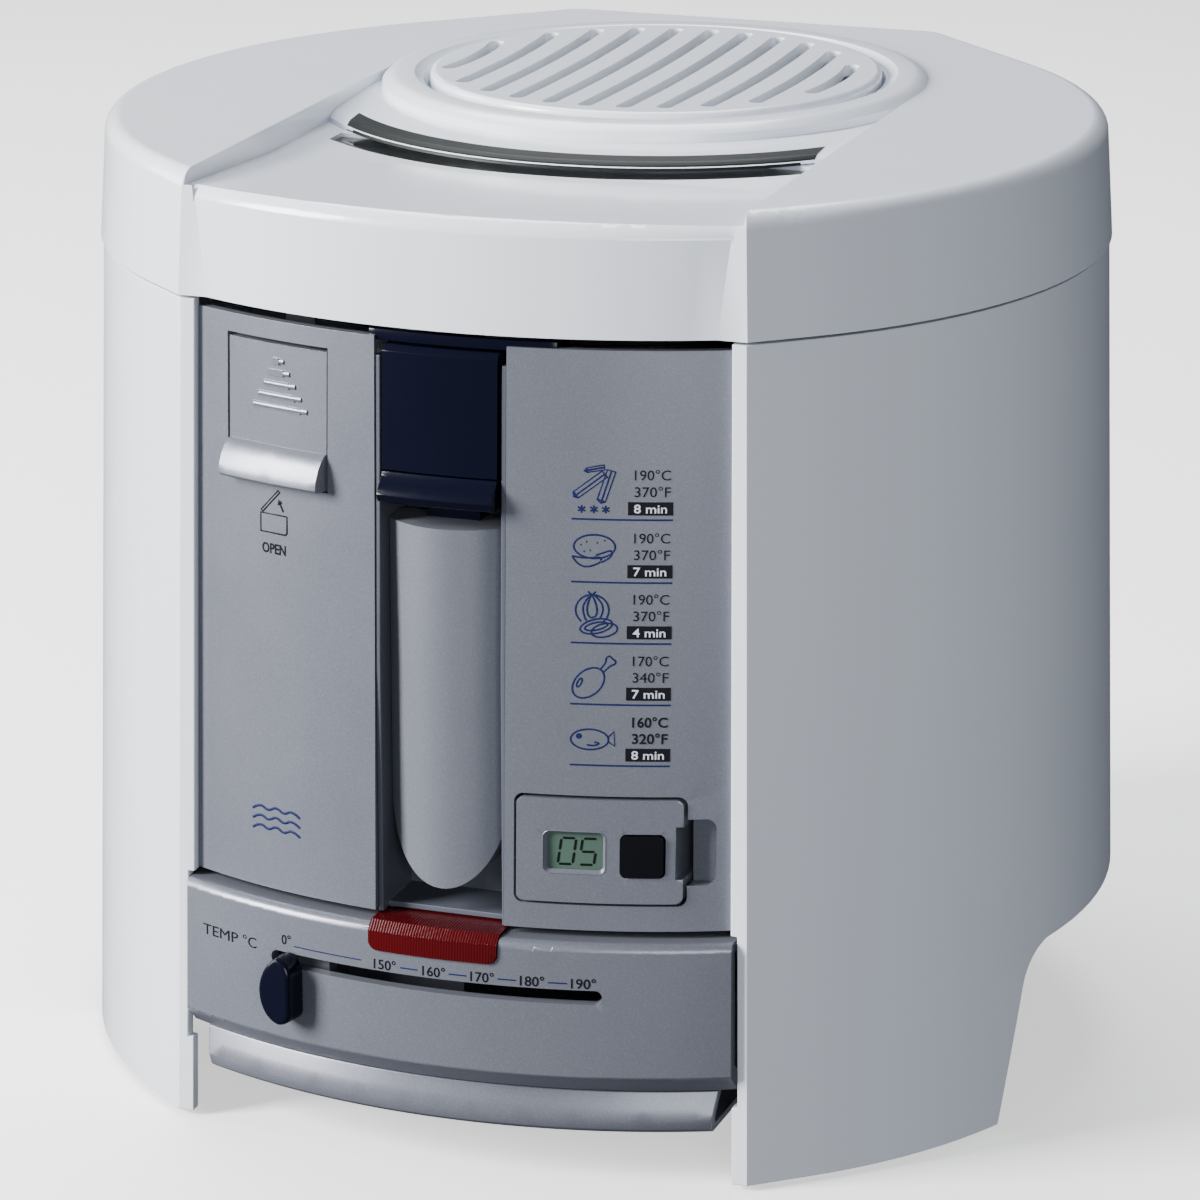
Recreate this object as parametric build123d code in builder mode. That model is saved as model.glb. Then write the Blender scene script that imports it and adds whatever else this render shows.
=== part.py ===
from build123d import *
from math import acos, asin, atan2, cos, degrees, hypot, pi, radians, sin, sqrt
import os

os.makedirs("parts", exist_ok=True)

# ---------------------------------------------------------------- driving dimensions, mm
body_top = 222.0            # upper edge of the housing
wall_foot = 1.0             # lower edge of the front legs of the housing
radius_top = 135.0          # round side of the housing at its upper edge
radius_floor = 141.5        # and at table level, so the walls lean in slightly
wall = 4.0                  # housing wall
front_corner = (75.7, 113.0)  # where the side walls end, beside the front panels
rear_corner = (56.0, 133.88)  # corner of the flat rear
rear_blend = 10.0
cutout_top = 46.5           # the rear of the walls stops here

front_axis_y = 41.0         # the bowed front is round about this upright line
panel_radius = 168.0        # upper panels, at panel_top
panel_draft = 0.0262        # growth of that radius per mm downwards
panel_top = 220.0
panel_foot = 69.0
panel_skin = 2.5
control_proud = 5.0         # control panel stands forward of the upper panels
control_top = 67.0
control_foot = 31.0

channel_half = 17.6         # half width of the handle channel
channel_skin = 1.3
channel_back_y = -108.0

pivot_y, pivot_z = -120.0, 207.0   # handle axle
tooth_module = 1.5
sector_teeth_full = 24      # teeth that a full ring of the handle's sector would have
idler_teeth = 7
sector_radius = tooth_module * sector_teeth_full / 2
idler_radius = tooth_module * idler_teeth / 2
idler_y = pivot_y + sector_radius + idler_radius
rack_line_y = idler_y + idler_radius
addendum, dedendum = 1.2, 1.6
gear_half = 3.5             # half width of the teeth
axle_radius = 2.5
idler_axle_radius = 1.8
running = 0.05              # radial clearance of a turning fit

bowl_y = 12.0               # bowl, basket and heater are round about this line
bowl_radius = 89.6
bowl_foot = 66.0
bowl_wall = 1.6
rim_z = 208.0               # deck, and underside of the bowl's rim
rim_radius = 95.0
basket_radius = 80.0
basket_foot = 82.0
basket_top = 196.0

lid_foot = 222.9
lid_top = 255.0
lid_wall = 3.0
lid_radius_foot = 135.7
lid_radius_top = 133.7
band_radius = 169.0         # bowed front of the lid between its two wings
band_half = 74.5
strip_floor = 248.2         # lowered strip of the lid top, at the window
strip_front = 252.2         # and at its front edge
ceiling = 244.5             # inner ceiling of the lid below the strip
dome_y = 41.5               # filter cover, collar and window are round about this line
cover_radius = 62.0
collar_top = 256.8
cover_top = 257.6
window_inner, window_outer = 92.5, 101.0
window_under = 86.0         # the glass runs on to here below the skirt
skirt_lip = 249.3           # underside of the skirt over the glass
band_edge = 5.0             # rounding of the upper front edge
window_half = 66.0

hinge_y, hinge_z = 126.0, 228.0
hinge_radius = 5.6
hinge_pin_radius = 2.0

button_x = -46.4            # lid release button
button_low, button_high = 178.0, 214.0
button_half = 15.0
button_turn = 16.2          # its pin follows the bow of the panel, degrees
button_pin_depth = 3.4
button_pin_z = 212.2
button_pin_radius = 1.2
button_hub_radius = 2.2

timer_low, timer_high = 76.5, 104.0
timer_left, timer_right = 20.8, 62.0
knob_x = -41.1              # temperature knob at its zero
slot_z = 52.8
slot_half = 1.9


# ---------------------------------------------------------------- shared geometry
def round_radius(z):
    """Radius of the round side walls at height z."""
    return radius_top + (radius_floor - radius_top) * (body_top - z) / body_top


def draw_outline(radius):
    """Plan of the body: a circle whose four corners run out along tangents."""
    k = radius / radius_top
    fx, fy = front_corner[0] * k, front_corner[1] * k
    rx, ry = rear_corner[0] * k, rear_corner[1] * k
    front_turn = atan2(fx, fy) + acos(radius / hypot(fx, fy))
    rear_turn = atan2(rx, ry) + acos(radius / hypot(rx, ry))
    tangent_x, tangent_y = radius * sin(front_turn), -radius * cos(front_turn)
    rear_x, rear_y = radius * sin(rear_turn), radius * cos(rear_turn)
    with BuildLine() as outline:
        Line((-fx, -fy), (fx, -fy))
        Line((fx, -fy), (tangent_x, tangent_y))
        ThreePointArc((tangent_x, tangent_y), (radius, 0), (rear_x, rear_y))
        Line((rear_x, rear_y), (rx, ry))
        Line((rx, ry), (-rx, ry))
        Line((-rx, ry), (-rear_x, rear_y))
        ThreePointArc((-rear_x, rear_y), (-radius, 0), (-tangent_x, tangent_y))
        Line((-tangent_x, tangent_y), (-fx, -fy))
    make_face(outline.edges())


def outline_loft(radius_low, z_low, radius_high, z_high, mode=Mode.ADD):
    """Body plan lofted between two heights."""
    with BuildSketch(Plane.XY.offset(z_low)) as low_plan:
        draw_outline(radius_low)
        fillet(low_plan.vertices().group_by(Axis.Y)[-1], radius=rear_blend)
    with BuildSketch(Plane.XY.offset(z_high)) as high_plan:
        draw_outline(radius_high)
        fillet(high_plan.vertices().group_by(Axis.Y)[-1], radius=rear_blend)
    loft([low_plan.sketch.face(), high_plan.sketch.face()], mode=mode)


def front_radius(z, proud=0.0):
    """Radius of the bowed front at height z, standing proud of the upper panels."""
    return panel_radius + panel_draft * (panel_top - z) + proud


def front_y(x, z, proud=0.0):
    """Depth of the bowed front at x and z."""
    return front_axis_y - sqrt(front_radius(z, proud) ** 2 - x**2)


def front_plane(turn):
    """Upright plane through the front axis: local x outwards, local y up."""
    a = radians(turn)
    return Plane(origin=(0, front_axis_y, 0), x_dir=(sin(a), -cos(a), 0), z_dir=(-cos(a), -sin(a), 0))


def sweep_front(points, low=-30.0, high=30.0, mode=Mode.ADD):
    """Turn a profile of (radius, height) points about the front axis."""
    with BuildSketch(front_plane(low)) as profile:
        with BuildLine():
            Polyline(*points, close=True)
        make_face()
    revolve(profile.sketch, axis=Axis((0, front_axis_y, 0), (0, 0, 1)), revolution_arc=high - low,
            mode=mode)


def keep_between(corners, mode=Mode.INTERSECT):
    """Keep what lies behind a four-sided outline seen from the front."""
    with BuildSketch(Plane.XZ) as outline:
        with BuildLine():
            Polyline(*corners, close=True)
        make_face()
    extrude(outline.sketch, amount=200, mode=mode)


def box_between(low, high, mode=Mode.ADD):
    """Box from its lowest to its highest corner."""
    with Locations(tuple((a + b) / 2 for a, b in zip(low, high))):
        Box(*(b - a for a, b in zip(low, high)), mode=mode)


def bar(radius, x_low, x_high, y, z, mode=Mode.ADD):
    """Round bar along X."""
    with Locations(((x_low + x_high) / 2, y, z)):
        Cylinder(radius, x_high - x_low, rotation=(0, 90, 0), mode=mode)


def post(radius, x, y, z_low, z_high, mode=Mode.ADD):
    """Round post along Z."""
    with Locations((x, y, z_low)):
        Cylinder(radius, z_high - z_low, align=(Align.CENTER, Align.CENTER, Align.MIN), mode=mode)


def sketch_in_side_view(points):
    """Closed outline in the YZ plane."""
    with BuildLine() as outline:
        Polyline(*points, close=True)
    make_face(outline.edges())


def hub_bar(plane, radius, x_low, x_high, mode=Mode.ADD):
    """Round bar along the local X of a plane."""
    with Locations(plane * Pos((x_low + x_high) / 2, 0, 0)):
        Cylinder(radius, x_high - x_low, rotation=(0, 90, 0), mode=mode)


def hub_box(plane, low, high, mode=Mode.ADD):
    """Box between two corners given in a plane's own axes."""
    with Locations(plane * Pos(*((a + b) / 2 for a, b in zip(low, high)))):
        Box(*(b - a for a, b in zip(low, high)), mode=mode)


def block_seen_from_front(low, high, corner, y_front, y_back, mode=Mode.ADD):
    """Block with rounded upright corners as seen from the front."""
    with BuildSketch(Plane.XZ.offset(-y_back)) as outline:
        with Locations(((low[0] + high[0]) / 2, (low[1] + high[1]) / 2)):
            RectangleRounded(high[0] - low[0], high[1] - low[1], corner)
    extrude(outline.sketch, amount=y_back - y_front, mode=mode)


def save(part, name):
    """Label a finished piece and write it out."""
    part.label = name
    export_step(part, f"parts/{name}.step")


# ---------------------------------------------------------------- housing
with BuildPart() as outer_housing:
    outline_loft(round_radius(wall_foot), wall_foot, radius_top, body_top)
    outline_loft(round_radius(0) - wall, 0, round_radius(body_top + 1) - wall, body_top + 1, Mode.SUBTRACT)
    with BuildSketch(Plane.XZ.offset(60)):                 # opening for the front panels
        with BuildLine():
            Polyline((-71.8, 230), (71.8, 230), (73.9, 68.2), (75.6, 68.2), (76.4, 22), (74.9, 22),
                     (75.2, 0),
                     (-75.2, 0), (-74.9, 22), (-76.4, 22), (-75.6, 68.2), (-73.9, 68.2), close=True)
        make_face()
    extrude(amount=100, mode=Mode.SUBTRACT)
    with BuildSketch(Plane.YZ.offset(-150)) as rear_cut:   # both flanks are cut away low at the rear
        with BuildLine():
            Polyline((-57.5, 0), (-43.0, cutout_top), (160, cutout_top), (160, 0), close=True)
        make_face()
        fillet(rear_cut.vertices().sort_by_distance((-43.0, cutout_top, 0))[0], radius=14)
    extrude(amount=300, mode=Mode.SUBTRACT)
save(outer_housing.part, "outer_housing")

# ---------------------------------------------------------------- base tray
drum_y, drum_radius, drum_wall = 8.0, 100.0, 2.5
plate_low, plate_high = 50.0, 53.0
tray_foot = 8.0
screw_places = [(-40, -56), (40, -56), (-40, 72), (40, 72)]
foot_places = [(-62, -52), (62, -52), (-62, 68), (62, 68)]
gland_z = 28.0

with BuildPart() as base_tray:
    outline_loft(round_radius(plate_low) - wall - 0.3, plate_low,
                 round_radius(plate_high) - wall - 0.3, plate_high)
    box_between((-80, -140, plate_low - 1), (80, -108, plate_high + 1), Mode.SUBTRACT)
    post(drum_radius, 0, drum_y, tray_foot, plate_high)
    post(drum_radius - drum_wall, 0, drum_y, tray_foot + 3, plate_high + 1, Mode.SUBTRACT)
    with BuildSketch(Plane.XY.offset(plate_low)):          # floor above the drum, open in its middle
        with Locations((0, drum_y)):
            Circle(drum_radius)
            Circle(40, mode=Mode.SUBTRACT)
    extrude(amount=plate_high - plate_low)
    with BuildSketch(Plane.XY.offset(tray_foot - 1)):
        with Locations(*screw_places):
            Circle(2.0)
    extrude(amount=5, mode=Mode.SUBTRACT)
    with Locations((0, drum_y + drum_radius, gland_z)):
        Cylinder(6.0, 16, rotation=(90, 0, 0), mode=Mode.SUBTRACT)
save(base_tray.part, "base_tray")

with BuildPart() as rubber_feet:
    with BuildSketch():
        with Locations(*foot_places):
            Circle(9)
    extrude(amount=tray_foot, taper=-4)
save(rubber_feet.part, "rubber_feet")

with BuildPart() as base_screws:
    for x, y in screw_places:
        post(4.0, x, y, tray_foot - 1.6, tray_foot)
        post(1.9, x, y, tray_foot, tray_foot + 12)
        box_between((x - 3, y - 0.5, tray_foot - 2), (x + 3, y + 0.5, tray_foot - 1), Mode.SUBTRACT)
save(base_screws.part, "base_screws")

with BuildPart() as cord_gland:
    with Locations((0, drum_y + drum_radius + 1.7, gland_z)):
        Cylinder(8.5, 3.0, rotation=(90, 0, 0))
    with Locations((0, drum_y + drum_radius - 2.3, gland_z)):
        Cylinder(5.95, 5.0, rotation=(90, 0, 0))
    with Locations((0, drum_y + drum_radius, gland_z)):
        Cylinder(3.6, 30, rotation=(90, 0, 0), mode=Mode.SUBTRACT)
save(cord_gland.part, "cord_gland")

with BuildPart() as terminal_block:
    box_between((-22, 68, tray_foot + 3), (22, 82, tray_foot + 16))
    for x in (-14, 0, 14):
        post(3, x, 75, tray_foot + 12, tray_foot + 17, Mode.SUBTRACT)
save(terminal_block.part, "terminal_block")

# ---------------------------------------------------------------- front panels
side_top, side_foot = 71.5, 73.8
opening_gap = 0.5
top_gap = 1.1               # above the release button, whose top edge rises as it tilts
button_reach = button_half / cos(radians(button_turn))
button_chord_y = (front_y(button_x - button_half, button_pin_z) + front_y(button_x + button_half,
                                                                          button_pin_z)) / 2
button_plane = Plane(
    origin=(button_x + button_pin_depth * sin(radians(button_turn)),
            button_chord_y + button_pin_depth * cos(radians(button_turn)), button_pin_z),
    x_dir=(cos(radians(button_turn)), -sin(radians(button_turn)), 0), z_dir=(0, 0, 1)).location
lug_inner, lug_outer = 16.7, 18.7


def upper_skin_points(z_low, z_high, skin=panel_skin, proud=0.0):
    """Profile of a thin bowed skin between two heights."""
    return [
        (front_radius(z_low, proud), z_low),
        (front_radius(z_high, proud), z_high),
        (front_radius(z_high, proud) - skin, z_high),
        (front_radius(z_low, proud) - skin, z_low),
    ]


with BuildPart() as left_panel:
    sweep_front(upper_skin_points(panel_foot, panel_top), -32, 0)
    keep_between([(-side_top, panel_top), (-channel_half, panel_top),
                  (-channel_half, panel_foot), (-side_foot, panel_foot)])
    hub_box(button_plane, (-button_reach - opening_gap, -12, button_low - opening_gap - button_pin_z),
            (button_reach + opening_gap, 8, button_high + top_gap - button_pin_z), Mode.SUBTRACT)
    for side in (-1, 1):                                   # lugs for its pin
        x_low, x_high = sorted((side * lug_inner, side * lug_outer))
        hub_box(button_plane, (x_low, -1.6, -3), (x_high, 3, 3))
    hub_bar(button_plane, button_pin_radius, -25, 25, Mode.SUBTRACT)
save(left_panel.part, "left_panel")

finger_right = 69.6
finger_low, finger_high = 81.2, 98.8
timer_gap = 0.8
pocket_back = -104.0
pocket_turn_low, pocket_turn_high = 6.3, 25.0

with BuildPart() as right_panel:
    sweep_front(upper_skin_points(panel_foot, panel_top), 0, 32)
    keep_between([(channel_half, panel_top), (side_top, panel_top),
                  (side_foot, panel_foot), (channel_half, panel_foot)])
    sweep_front([(front_radius(73), 73), (front_radius(108), 108), (145.0, 108), (145.0, 73)],
                pocket_turn_low, pocket_turn_high)         # walls of the timer's pocket
    box_between((10, front_y(timer_left - 2.2, 90) + panel_skin + 0.3, 72),
                (timer_left - 2.2, -95, 109), Mode.SUBTRACT)
    block_seen_from_front((timer_left - timer_gap, timer_low - timer_gap),
                          (timer_right + timer_gap,
                           timer_high + timer_gap), 2.4, -150, pocket_back, Mode.SUBTRACT)
    block_seen_from_front((timer_right - 8, finger_low), (finger_right, finger_high), 2.5, -150,
                          -113.5, Mode.SUBTRACT)
save(right_panel.part, "right_panel")

# Control panel: bowed face, rounded ledge on top, chamfer below
slot_turn_low = degrees(asin(-45.0 / front_radius(slot_z, control_proud)))
slot_turn_high = degrees(asin(42.4 / front_radius(slot_z, control_proud)))
face_low = front_radius(control_foot, control_proud)
face_high = front_radius(control_top, control_proud)
lens_half = 17.5
lens_foot = 60.3

with BuildPart() as control_panel:
    with BuildSketch(front_plane(-30)) as control_profile:
        with BuildLine():
            Polyline(
                (face_high - 13, control_top), (face_high, control_top), (face_low, control_foot),
                (face_low - 5, control_foot - 5), (face_low - 8, control_foot - 5),
                (face_low - 8, control_foot - 2), (face_low - 3, control_foot + 2.5),
                (face_high - 3, control_top - 3), (face_high - 13, control_top - 3), close=True)
        make_face()
        fillet(control_profile.vertices().sort_by_distance((face_high, control_top, 0))[0], radius=2.4)
        fillet(control_profile.vertices().sort_by_distance((face_low, control_foot, 0))[0], radius=1.2)
    revolve(axis=Axis((0, front_axis_y, 0), (0, 0, 1)), revolution_arc=60)
    keep_between([(-74.9, control_top + 1), (74.9, control_top + 1), (75.4, control_foot - 6),
                  (-75.4, control_foot - 6)])
    sweep_front([(165, slot_z - slot_half), (185, slot_z - slot_half), (185, slot_z + slot_half),
                 (165, slot_z + slot_half)], slot_turn_low, slot_turn_high, Mode.SUBTRACT)
    for turn in (slot_turn_low, slot_turn_high):           # rounded ends
        end = front_plane(turn).location * Pos(front_radius(slot_z, control_proud), slot_z, 0)
        with Locations(end):
            Cylinder(slot_half, 16, rotation=(0, 90, 0), mode=Mode.SUBTRACT)
    block_seen_from_front((-lens_half - 0.2, lens_foot - 0.2), (lens_half + 0.2, 80), 2.8, -150, -100,
                          Mode.SUBTRACT)
save(control_panel.part, "control_panel")

with BuildPart() as indicator_lens:
    lens_low, lens_high = front_radius(lens_foot, 5.6), front_radius(control_top, 5.6)
    sweep_front([(lens_low, lens_foot), (lens_high, control_top - 1.5),
                 (lens_high - 2.5, control_top + 0.8),
                 (150, control_top + 0.8), (150, lens_foot)])
    block_seen_from_front((-lens_half, lens_foot), (lens_half, 80), 2.6, -150, -100, Mode.INTERSECT)
    post(30.0, 0, -149.5, 40, 80, Mode.INTERSECT)          # arched rear edge
save(indicator_lens.part, "indicator_lens")

with BuildPart() as indicator_lamp:
    post(2.2, 0, -122.5, 56.4, 57.6)
    with Locations((0, -122.5, 57.6)):
        Sphere(2.2)
    box_between((-8, -126, 55.2), (8, -117, 56.4))
save(indicator_lamp.part, "indicator_lamp")

with BuildPart() as lower_trim:
    lip = face_low - 3.2
    sweep_front([(lip - 2.2, 25.6), (lip, 18.5), (lip - 0.8, 15.4), (lip - 3.0, 14), (133, 14), (133, 16.4),
                 (lip - 3.6, 16.4), (lip - 2.6, 18.8), (lip - 4.8, 25.6)], -28, 28)
    keep_between([(-71.5, 30), (71.5, 30), (69.0, 10), (-69.0, 10)])
    post(drum_radius + 0.3, 0, drum_y, 0, 60, Mode.SUBTRACT)
save(lower_trim.part, "lower_trim")

# ---------------------------------------------------------------- handle channel and gear case
cheek_top = 215.0
cheek_back = -85.0
mechanism_foot = 184.0

with BuildPart() as handle_channel:
    for side in (-1, 1):
        x_outer = side * (channel_half - 0.1)
        x_inner = side * (channel_half - 0.1 - channel_skin)
        x_low, x_high = min(x_outer, x_inner), max(x_outer, x_inner)
        box_between((x_low, -128, panel_foot - 0.9), (x_high, channel_back_y, cheek_top))
        box_between((x_low, channel_back_y, 150), (x_high, cheek_back, cheek_top))
        rail_low, rail_high = sorted((side * 9.0, x_outer))
        box_between((rail_low, rack_line_y - 2.0, 150), (rail_high, rack_line_y + 1.2, 203))
    box_between((-channel_half + 0.1, channel_back_y, panel_foot - 0.9),
                (channel_half - 0.1, channel_back_y + 1.5, mechanism_foot))
    box_between((-channel_half + 0.1, -124, panel_foot - 0.9),
                (channel_half - 0.1, channel_back_y + 1.5, panel_foot + 0.6))
    box_between((-channel_half + 0.1, cheek_back - 1.5, 150), (channel_half - 0.1, cheek_back, 203))
    box_between((-channel_half + 0.1, channel_back_y, 150), (channel_half - 0.1, cheek_back, 151.5))
    sweep_front([(front_radius(60, -0.4), 60), (front_radius(217, -0.4), 217), (100, 217), (100, 60)],
                mode=Mode.INTERSECT)
    bar(axle_radius, -30, 30, pivot_y, pivot_z, Mode.SUBTRACT)
    bar(idler_axle_radius, -30, 30, idler_y, pivot_z, Mode.SUBTRACT)
save(handle_channel.part, "handle_channel")

with BuildPart() as handle_axle:
    bar(axle_radius, -channel_half + 0.1, channel_half - 0.1, pivot_y, pivot_z)
save(handle_axle.part, "handle_axle")

with BuildPart() as idler_axle:
    bar(idler_axle_radius, -channel_half + 0.1, channel_half - 0.1, idler_y, pivot_z)
save(idler_axle.part, "idler_axle")


def tooth_points(radius, turn):
    """Four corners of a gear tooth about the origin, pointing along turn in degrees."""
    a = radians(turn)
    corners = ((radius - dedendum - 0.4, -1.25), (radius + addendum, -0.35), (radius + addendum, 0.35),
               (radius - dedendum - 0.4, 1.25))
    return [(along * cos(a) - across * sin(a), along * sin(a) + across * cos(a)) for along,
            across in corners]


def add_teeth(radius, turns):
    """Straight-sided teeth joined to the sketch in hand."""
    for turn in turns:
        with BuildLine() as flanks:
            Polyline(*tooth_points(radius, turn), close=True)
        make_face(flanks.edges())


gear_plane_handle = Plane(origin=(-gear_half, pivot_y, pivot_z), x_dir=(0, 1, 0), z_dir=(1, 0, 0))
gear_plane_idler = Plane(origin=(-gear_half, idler_y, pivot_z), x_dir=(0, 1, 0), z_dir=(1, 0, 0))
sector_step = 360 / sector_teeth_full
idler_step = 360 / idler_teeth
block_half = 15.4
block_top = 218.0
block_foot = 178.0
lip_top = 186.0
block_back = -114.0
grip_top = 172.0
grip_tip = 76.4
grip_half = 15.8
neck_half = 7.2
neck_front = -117.8

with BuildPart() as handle_block:
    sweep_front([(front_radius(lip_top, 0.3), lip_top), (front_radius(block_top, 0.3), block_top - 1.5),
                 (front_radius(block_top, 0.3) - 1.5, block_top), (150, block_top), (150, lip_top)], -8, 8)
    box_between((-block_half, -118.0, block_foot), (block_half, block_back, lip_top + 1))
    box_between((-block_half, -140, block_foot - 1), (block_half, block_back, block_top + 1),
                Mode.INTERSECT)
    box_between((-neck_half, neck_front, grip_top - 2), (neck_half, block_back + 3, block_foot + 4))
    with BuildSketch(gear_plane_handle):
        root = sector_radius - dedendum
        first, last = radians(-22), radians(95)
        with BuildLine():
            Line((0, 0), (root * cos(first), root * sin(first)))
            RadiusArc((root * cos(first), root * sin(first)), (root * cos(last), root * sin(last)), -root)
            Line((root * cos(last), root * sin(last)), (0, 0))
        make_face()
        add_teeth(sector_radius, [sector_step * i for i in range(-1, 7)])
    extrude(amount=2 * gear_half)
    bar(axle_radius + running, -30, 30, pivot_y, pivot_z, Mode.SUBTRACT)
save(handle_block.part, "handle_block")

with BuildPart() as handle_slider:
    sweep_front([(front_radius(183, 0.2), lip_top - 0.4), (front_radius(183, 0.9), lip_top - 1.6),
                 (front_radius(182, 3.6), lip_top - 4.2), (front_radius(180, 4.2), block_foot + 2.4),
                 (front_radius(179, 3.4), block_foot + 0.6), (front_radius(178, 2.0), block_foot),
                 (159.4, block_foot), (159.4, lip_top - 0.4)], -8, 8)
    box_between((-block_half, -145, block_foot - 1), (block_half, -118.35, lip_top), Mode.INTERSECT)
save(handle_slider.part, "handle_slider")

with BuildPart() as handle_grip:
    with BuildSketch(Plane.XZ.offset(111.5)):
        with BuildLine():
            Line((-grip_half, grip_top), (grip_half, grip_top))
            Line((grip_half, grip_top), (grip_half, grip_tip + 24))
            Bezier((grip_half, grip_tip + 24), (grip_half, grip_tip + 9), (8.2, grip_tip), (0, grip_tip))
            Bezier((0, grip_tip), (-8.2, grip_tip), (-grip_half, grip_tip + 9), (-grip_half, grip_tip + 24))
            Line((-grip_half, grip_tip + 24), (-grip_half, grip_top))
        make_face()
    extrude(amount=20)
    post(21.5, 0, -107.0, 60, 180, Mode.INTERSECT)         # crowned front
    fillet(handle_grip.faces().sort_by(Axis.Y)[-1].edges(), radius=1.2)
    box_between((-neck_half, neck_front, grip_top - 2), (neck_half, block_back + 3, grip_top + 1),
                Mode.SUBTRACT)
save(handle_grip.part, "handle_grip")

with BuildPart() as idler_gear:
    with BuildSketch(gear_plane_idler):
        Circle(idler_radius - dedendum)
        add_teeth(idler_radius, [idler_step * i for i in range(idler_teeth)])
    extrude(amount=2 * gear_half)
    bar(idler_axle_radius + running, -30, 30, idler_y, pivot_z, Mode.SUBTRACT)
save(idler_gear.part, "idler_gear")

# ---------------------------------------------------------------- basket and its lift
lift = sector_radius * pi / 2
rack_foot = pivot_z - lift - 7.5
rack_back = rack_line_y + dedendum + 3.0
arm_low, arm_high = 210.6, 213.0
tooth_pitch = pi * tooth_module

with BuildPart() as lift_rack:
    box_between((-12, rack_line_y + dedendum, rack_foot), (12, rack_back, arm_high))
    with BuildSketch(Plane(origin=(-gear_half, rack_line_y, pivot_z), x_dir=(0, 1, 0), z_dir=(1, 0, 0))):
        for i in range(-7, 1):
            z = (i + 0.5) * tooth_pitch
            with BuildLine():
                Polyline((dedendum + 0.4, z - 1.25), (-addendum, z - 0.35), (-addendum, z + 0.35),
                         (dedendum + 0.4, z + 1.25), close=True)
            make_face()
    extrude(amount=2 * gear_half)
save(lift_rack.part, "lift_rack")

with BuildPart() as basket_hanger:
    box_between((-8, rack_back, arm_low), (8, -70.5, arm_high))
    box_between((-8, -72.5, basket_top - 20), (8, -70.5, arm_high))
    with Locations((0, -70.5, basket_top - 12)):
        Box(10, 3, 8, align=(Align.CENTER, Align.MIN, Align.CENTER))
    post(basket_radius + 0.15, 0, bowl_y, 100, 260, Mode.SUBTRACT)
save(basket_hanger.part, "basket_hanger")

with BuildPart() as basket:
    with BuildSketch(Plane.XZ):
        with BuildLine():
            Polyline((0, basket_foot), (basket_radius - 6, basket_foot), (basket_radius, basket_foot + 10),
                     (basket_radius, basket_top - 1.6), (basket_radius - 1.4, basket_top - 1.6),
                     (basket_radius - 1.4, basket_foot + 10.6), (basket_radius - 6.6, basket_foot + 1.4),
                     (0, basket_foot + 1.4), close=True)
        make_face()
    revolve(axis=Axis.Z)
basket.part.position = (0, bowl_y, 0)
save(basket.part, "basket")

with BuildPart() as basket_rim:
    with Locations((0, bowl_y, basket_top)):
        Torus(basket_radius - 0.8, 1.6)
save(basket_rim.part, "basket_rim")

# ---------------------------------------------------------------- deck, bowl and heater
with BuildPart() as deck_ring:
    outline_loft(round_radius(rim_z - 4) - wall - 0.3, rim_z - 4, round_radius(rim_z) - wall - 0.3, rim_z)
    box_between((-90, -140, 200), (90, -100, 212), Mode.SUBTRACT)
    with BuildSketch(Plane.XY.offset(rim_z - 4)):          # bowed front edge, behind the panels
        with Locations((0, front_axis_y)):
            Circle(front_radius(204) - panel_skin - 0.3)
        with Locations((0, -125)):
            Rectangle(2 * side_top - 1, 60, mode=Mode.INTERSECT)
    extrude(amount=4)
    post(bowl_radius + 0.4, 0, bowl_y, 200, 212, Mode.SUBTRACT)
    box_between((-channel_half, -140, 200), (channel_half, -74, 212), Mode.SUBTRACT)
    box_between((button_x - 22, -130, 200), (button_x + 22, -100, 212), Mode.SUBTRACT)
save(deck_ring.part, "deck_ring")

with BuildPart() as bowl:
    with BuildSketch(Plane.XZ):
        with BuildLine():
            Polyline((0, bowl_foot), (bowl_radius - 12, bowl_foot), (bowl_radius - 3.5, bowl_foot + 9),
                     (bowl_radius, rim_z), (rim_radius, rim_z), (rim_radius, rim_z + bowl_wall),
                     (bowl_radius - bowl_wall, rim_z + bowl_wall),
                     (bowl_radius - 3.5 - bowl_wall, bowl_foot + 9.6),
                     (bowl_radius - 12.6, bowl_foot + bowl_wall), (0, bowl_foot + bowl_wall), close=True)
        make_face()
    revolve(axis=Axis.Z)
bowl.part.position = (0, bowl_y, 0)
save(bowl.part, "bowl")

with BuildPart() as heating_element:
    with BuildSketch(Plane.XZ):
        with Locations((60, bowl_foot - 4.3)):
            Circle(4)
    revolve(axis=Axis.Z, revolution_arc=330)
    for turn in (8, 322):
        a = radians(turn)
        post(2.2, 60 * cos(a), 60 * sin(a), 54, bowl_foot - 4.3)
heating_element.part.position = (0, bowl_y, 0)
save(heating_element.part, "heating_element")

with BuildPart() as heat_shield:
    with BuildSketch(Plane.XZ):
        with BuildLine():
            Polyline((45, 56), (94, 56), (94, 203.5), (93.2, 203.5), (93.2, 56.8), (45, 56.8), close=True)
        make_face()
    revolve(axis=Axis.Z)
    for turn in (8, 322):
        a = radians(turn)
        post(4, 60 * cos(a), 60 * sin(a), 50, 60, Mode.SUBTRACT)
heat_shield.part.position = (0, bowl_y, 0)
save(heat_shield.part, "heat_shield")

with BuildPart() as thermal_cutout:
    post(7, 68, -30, plate_high, plate_high + 2.4)
    box_between((60, -27, plate_high), (76, -25, plate_high + 1))
save(thermal_cutout.part, "thermal_cutout")

with BuildPart() as thermostat:
    box_between((-30, -118, 36), (2, -104, plate_low))
    post(3, -14, -111, 30, 36)
save(thermostat.part, "thermostat")

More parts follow.
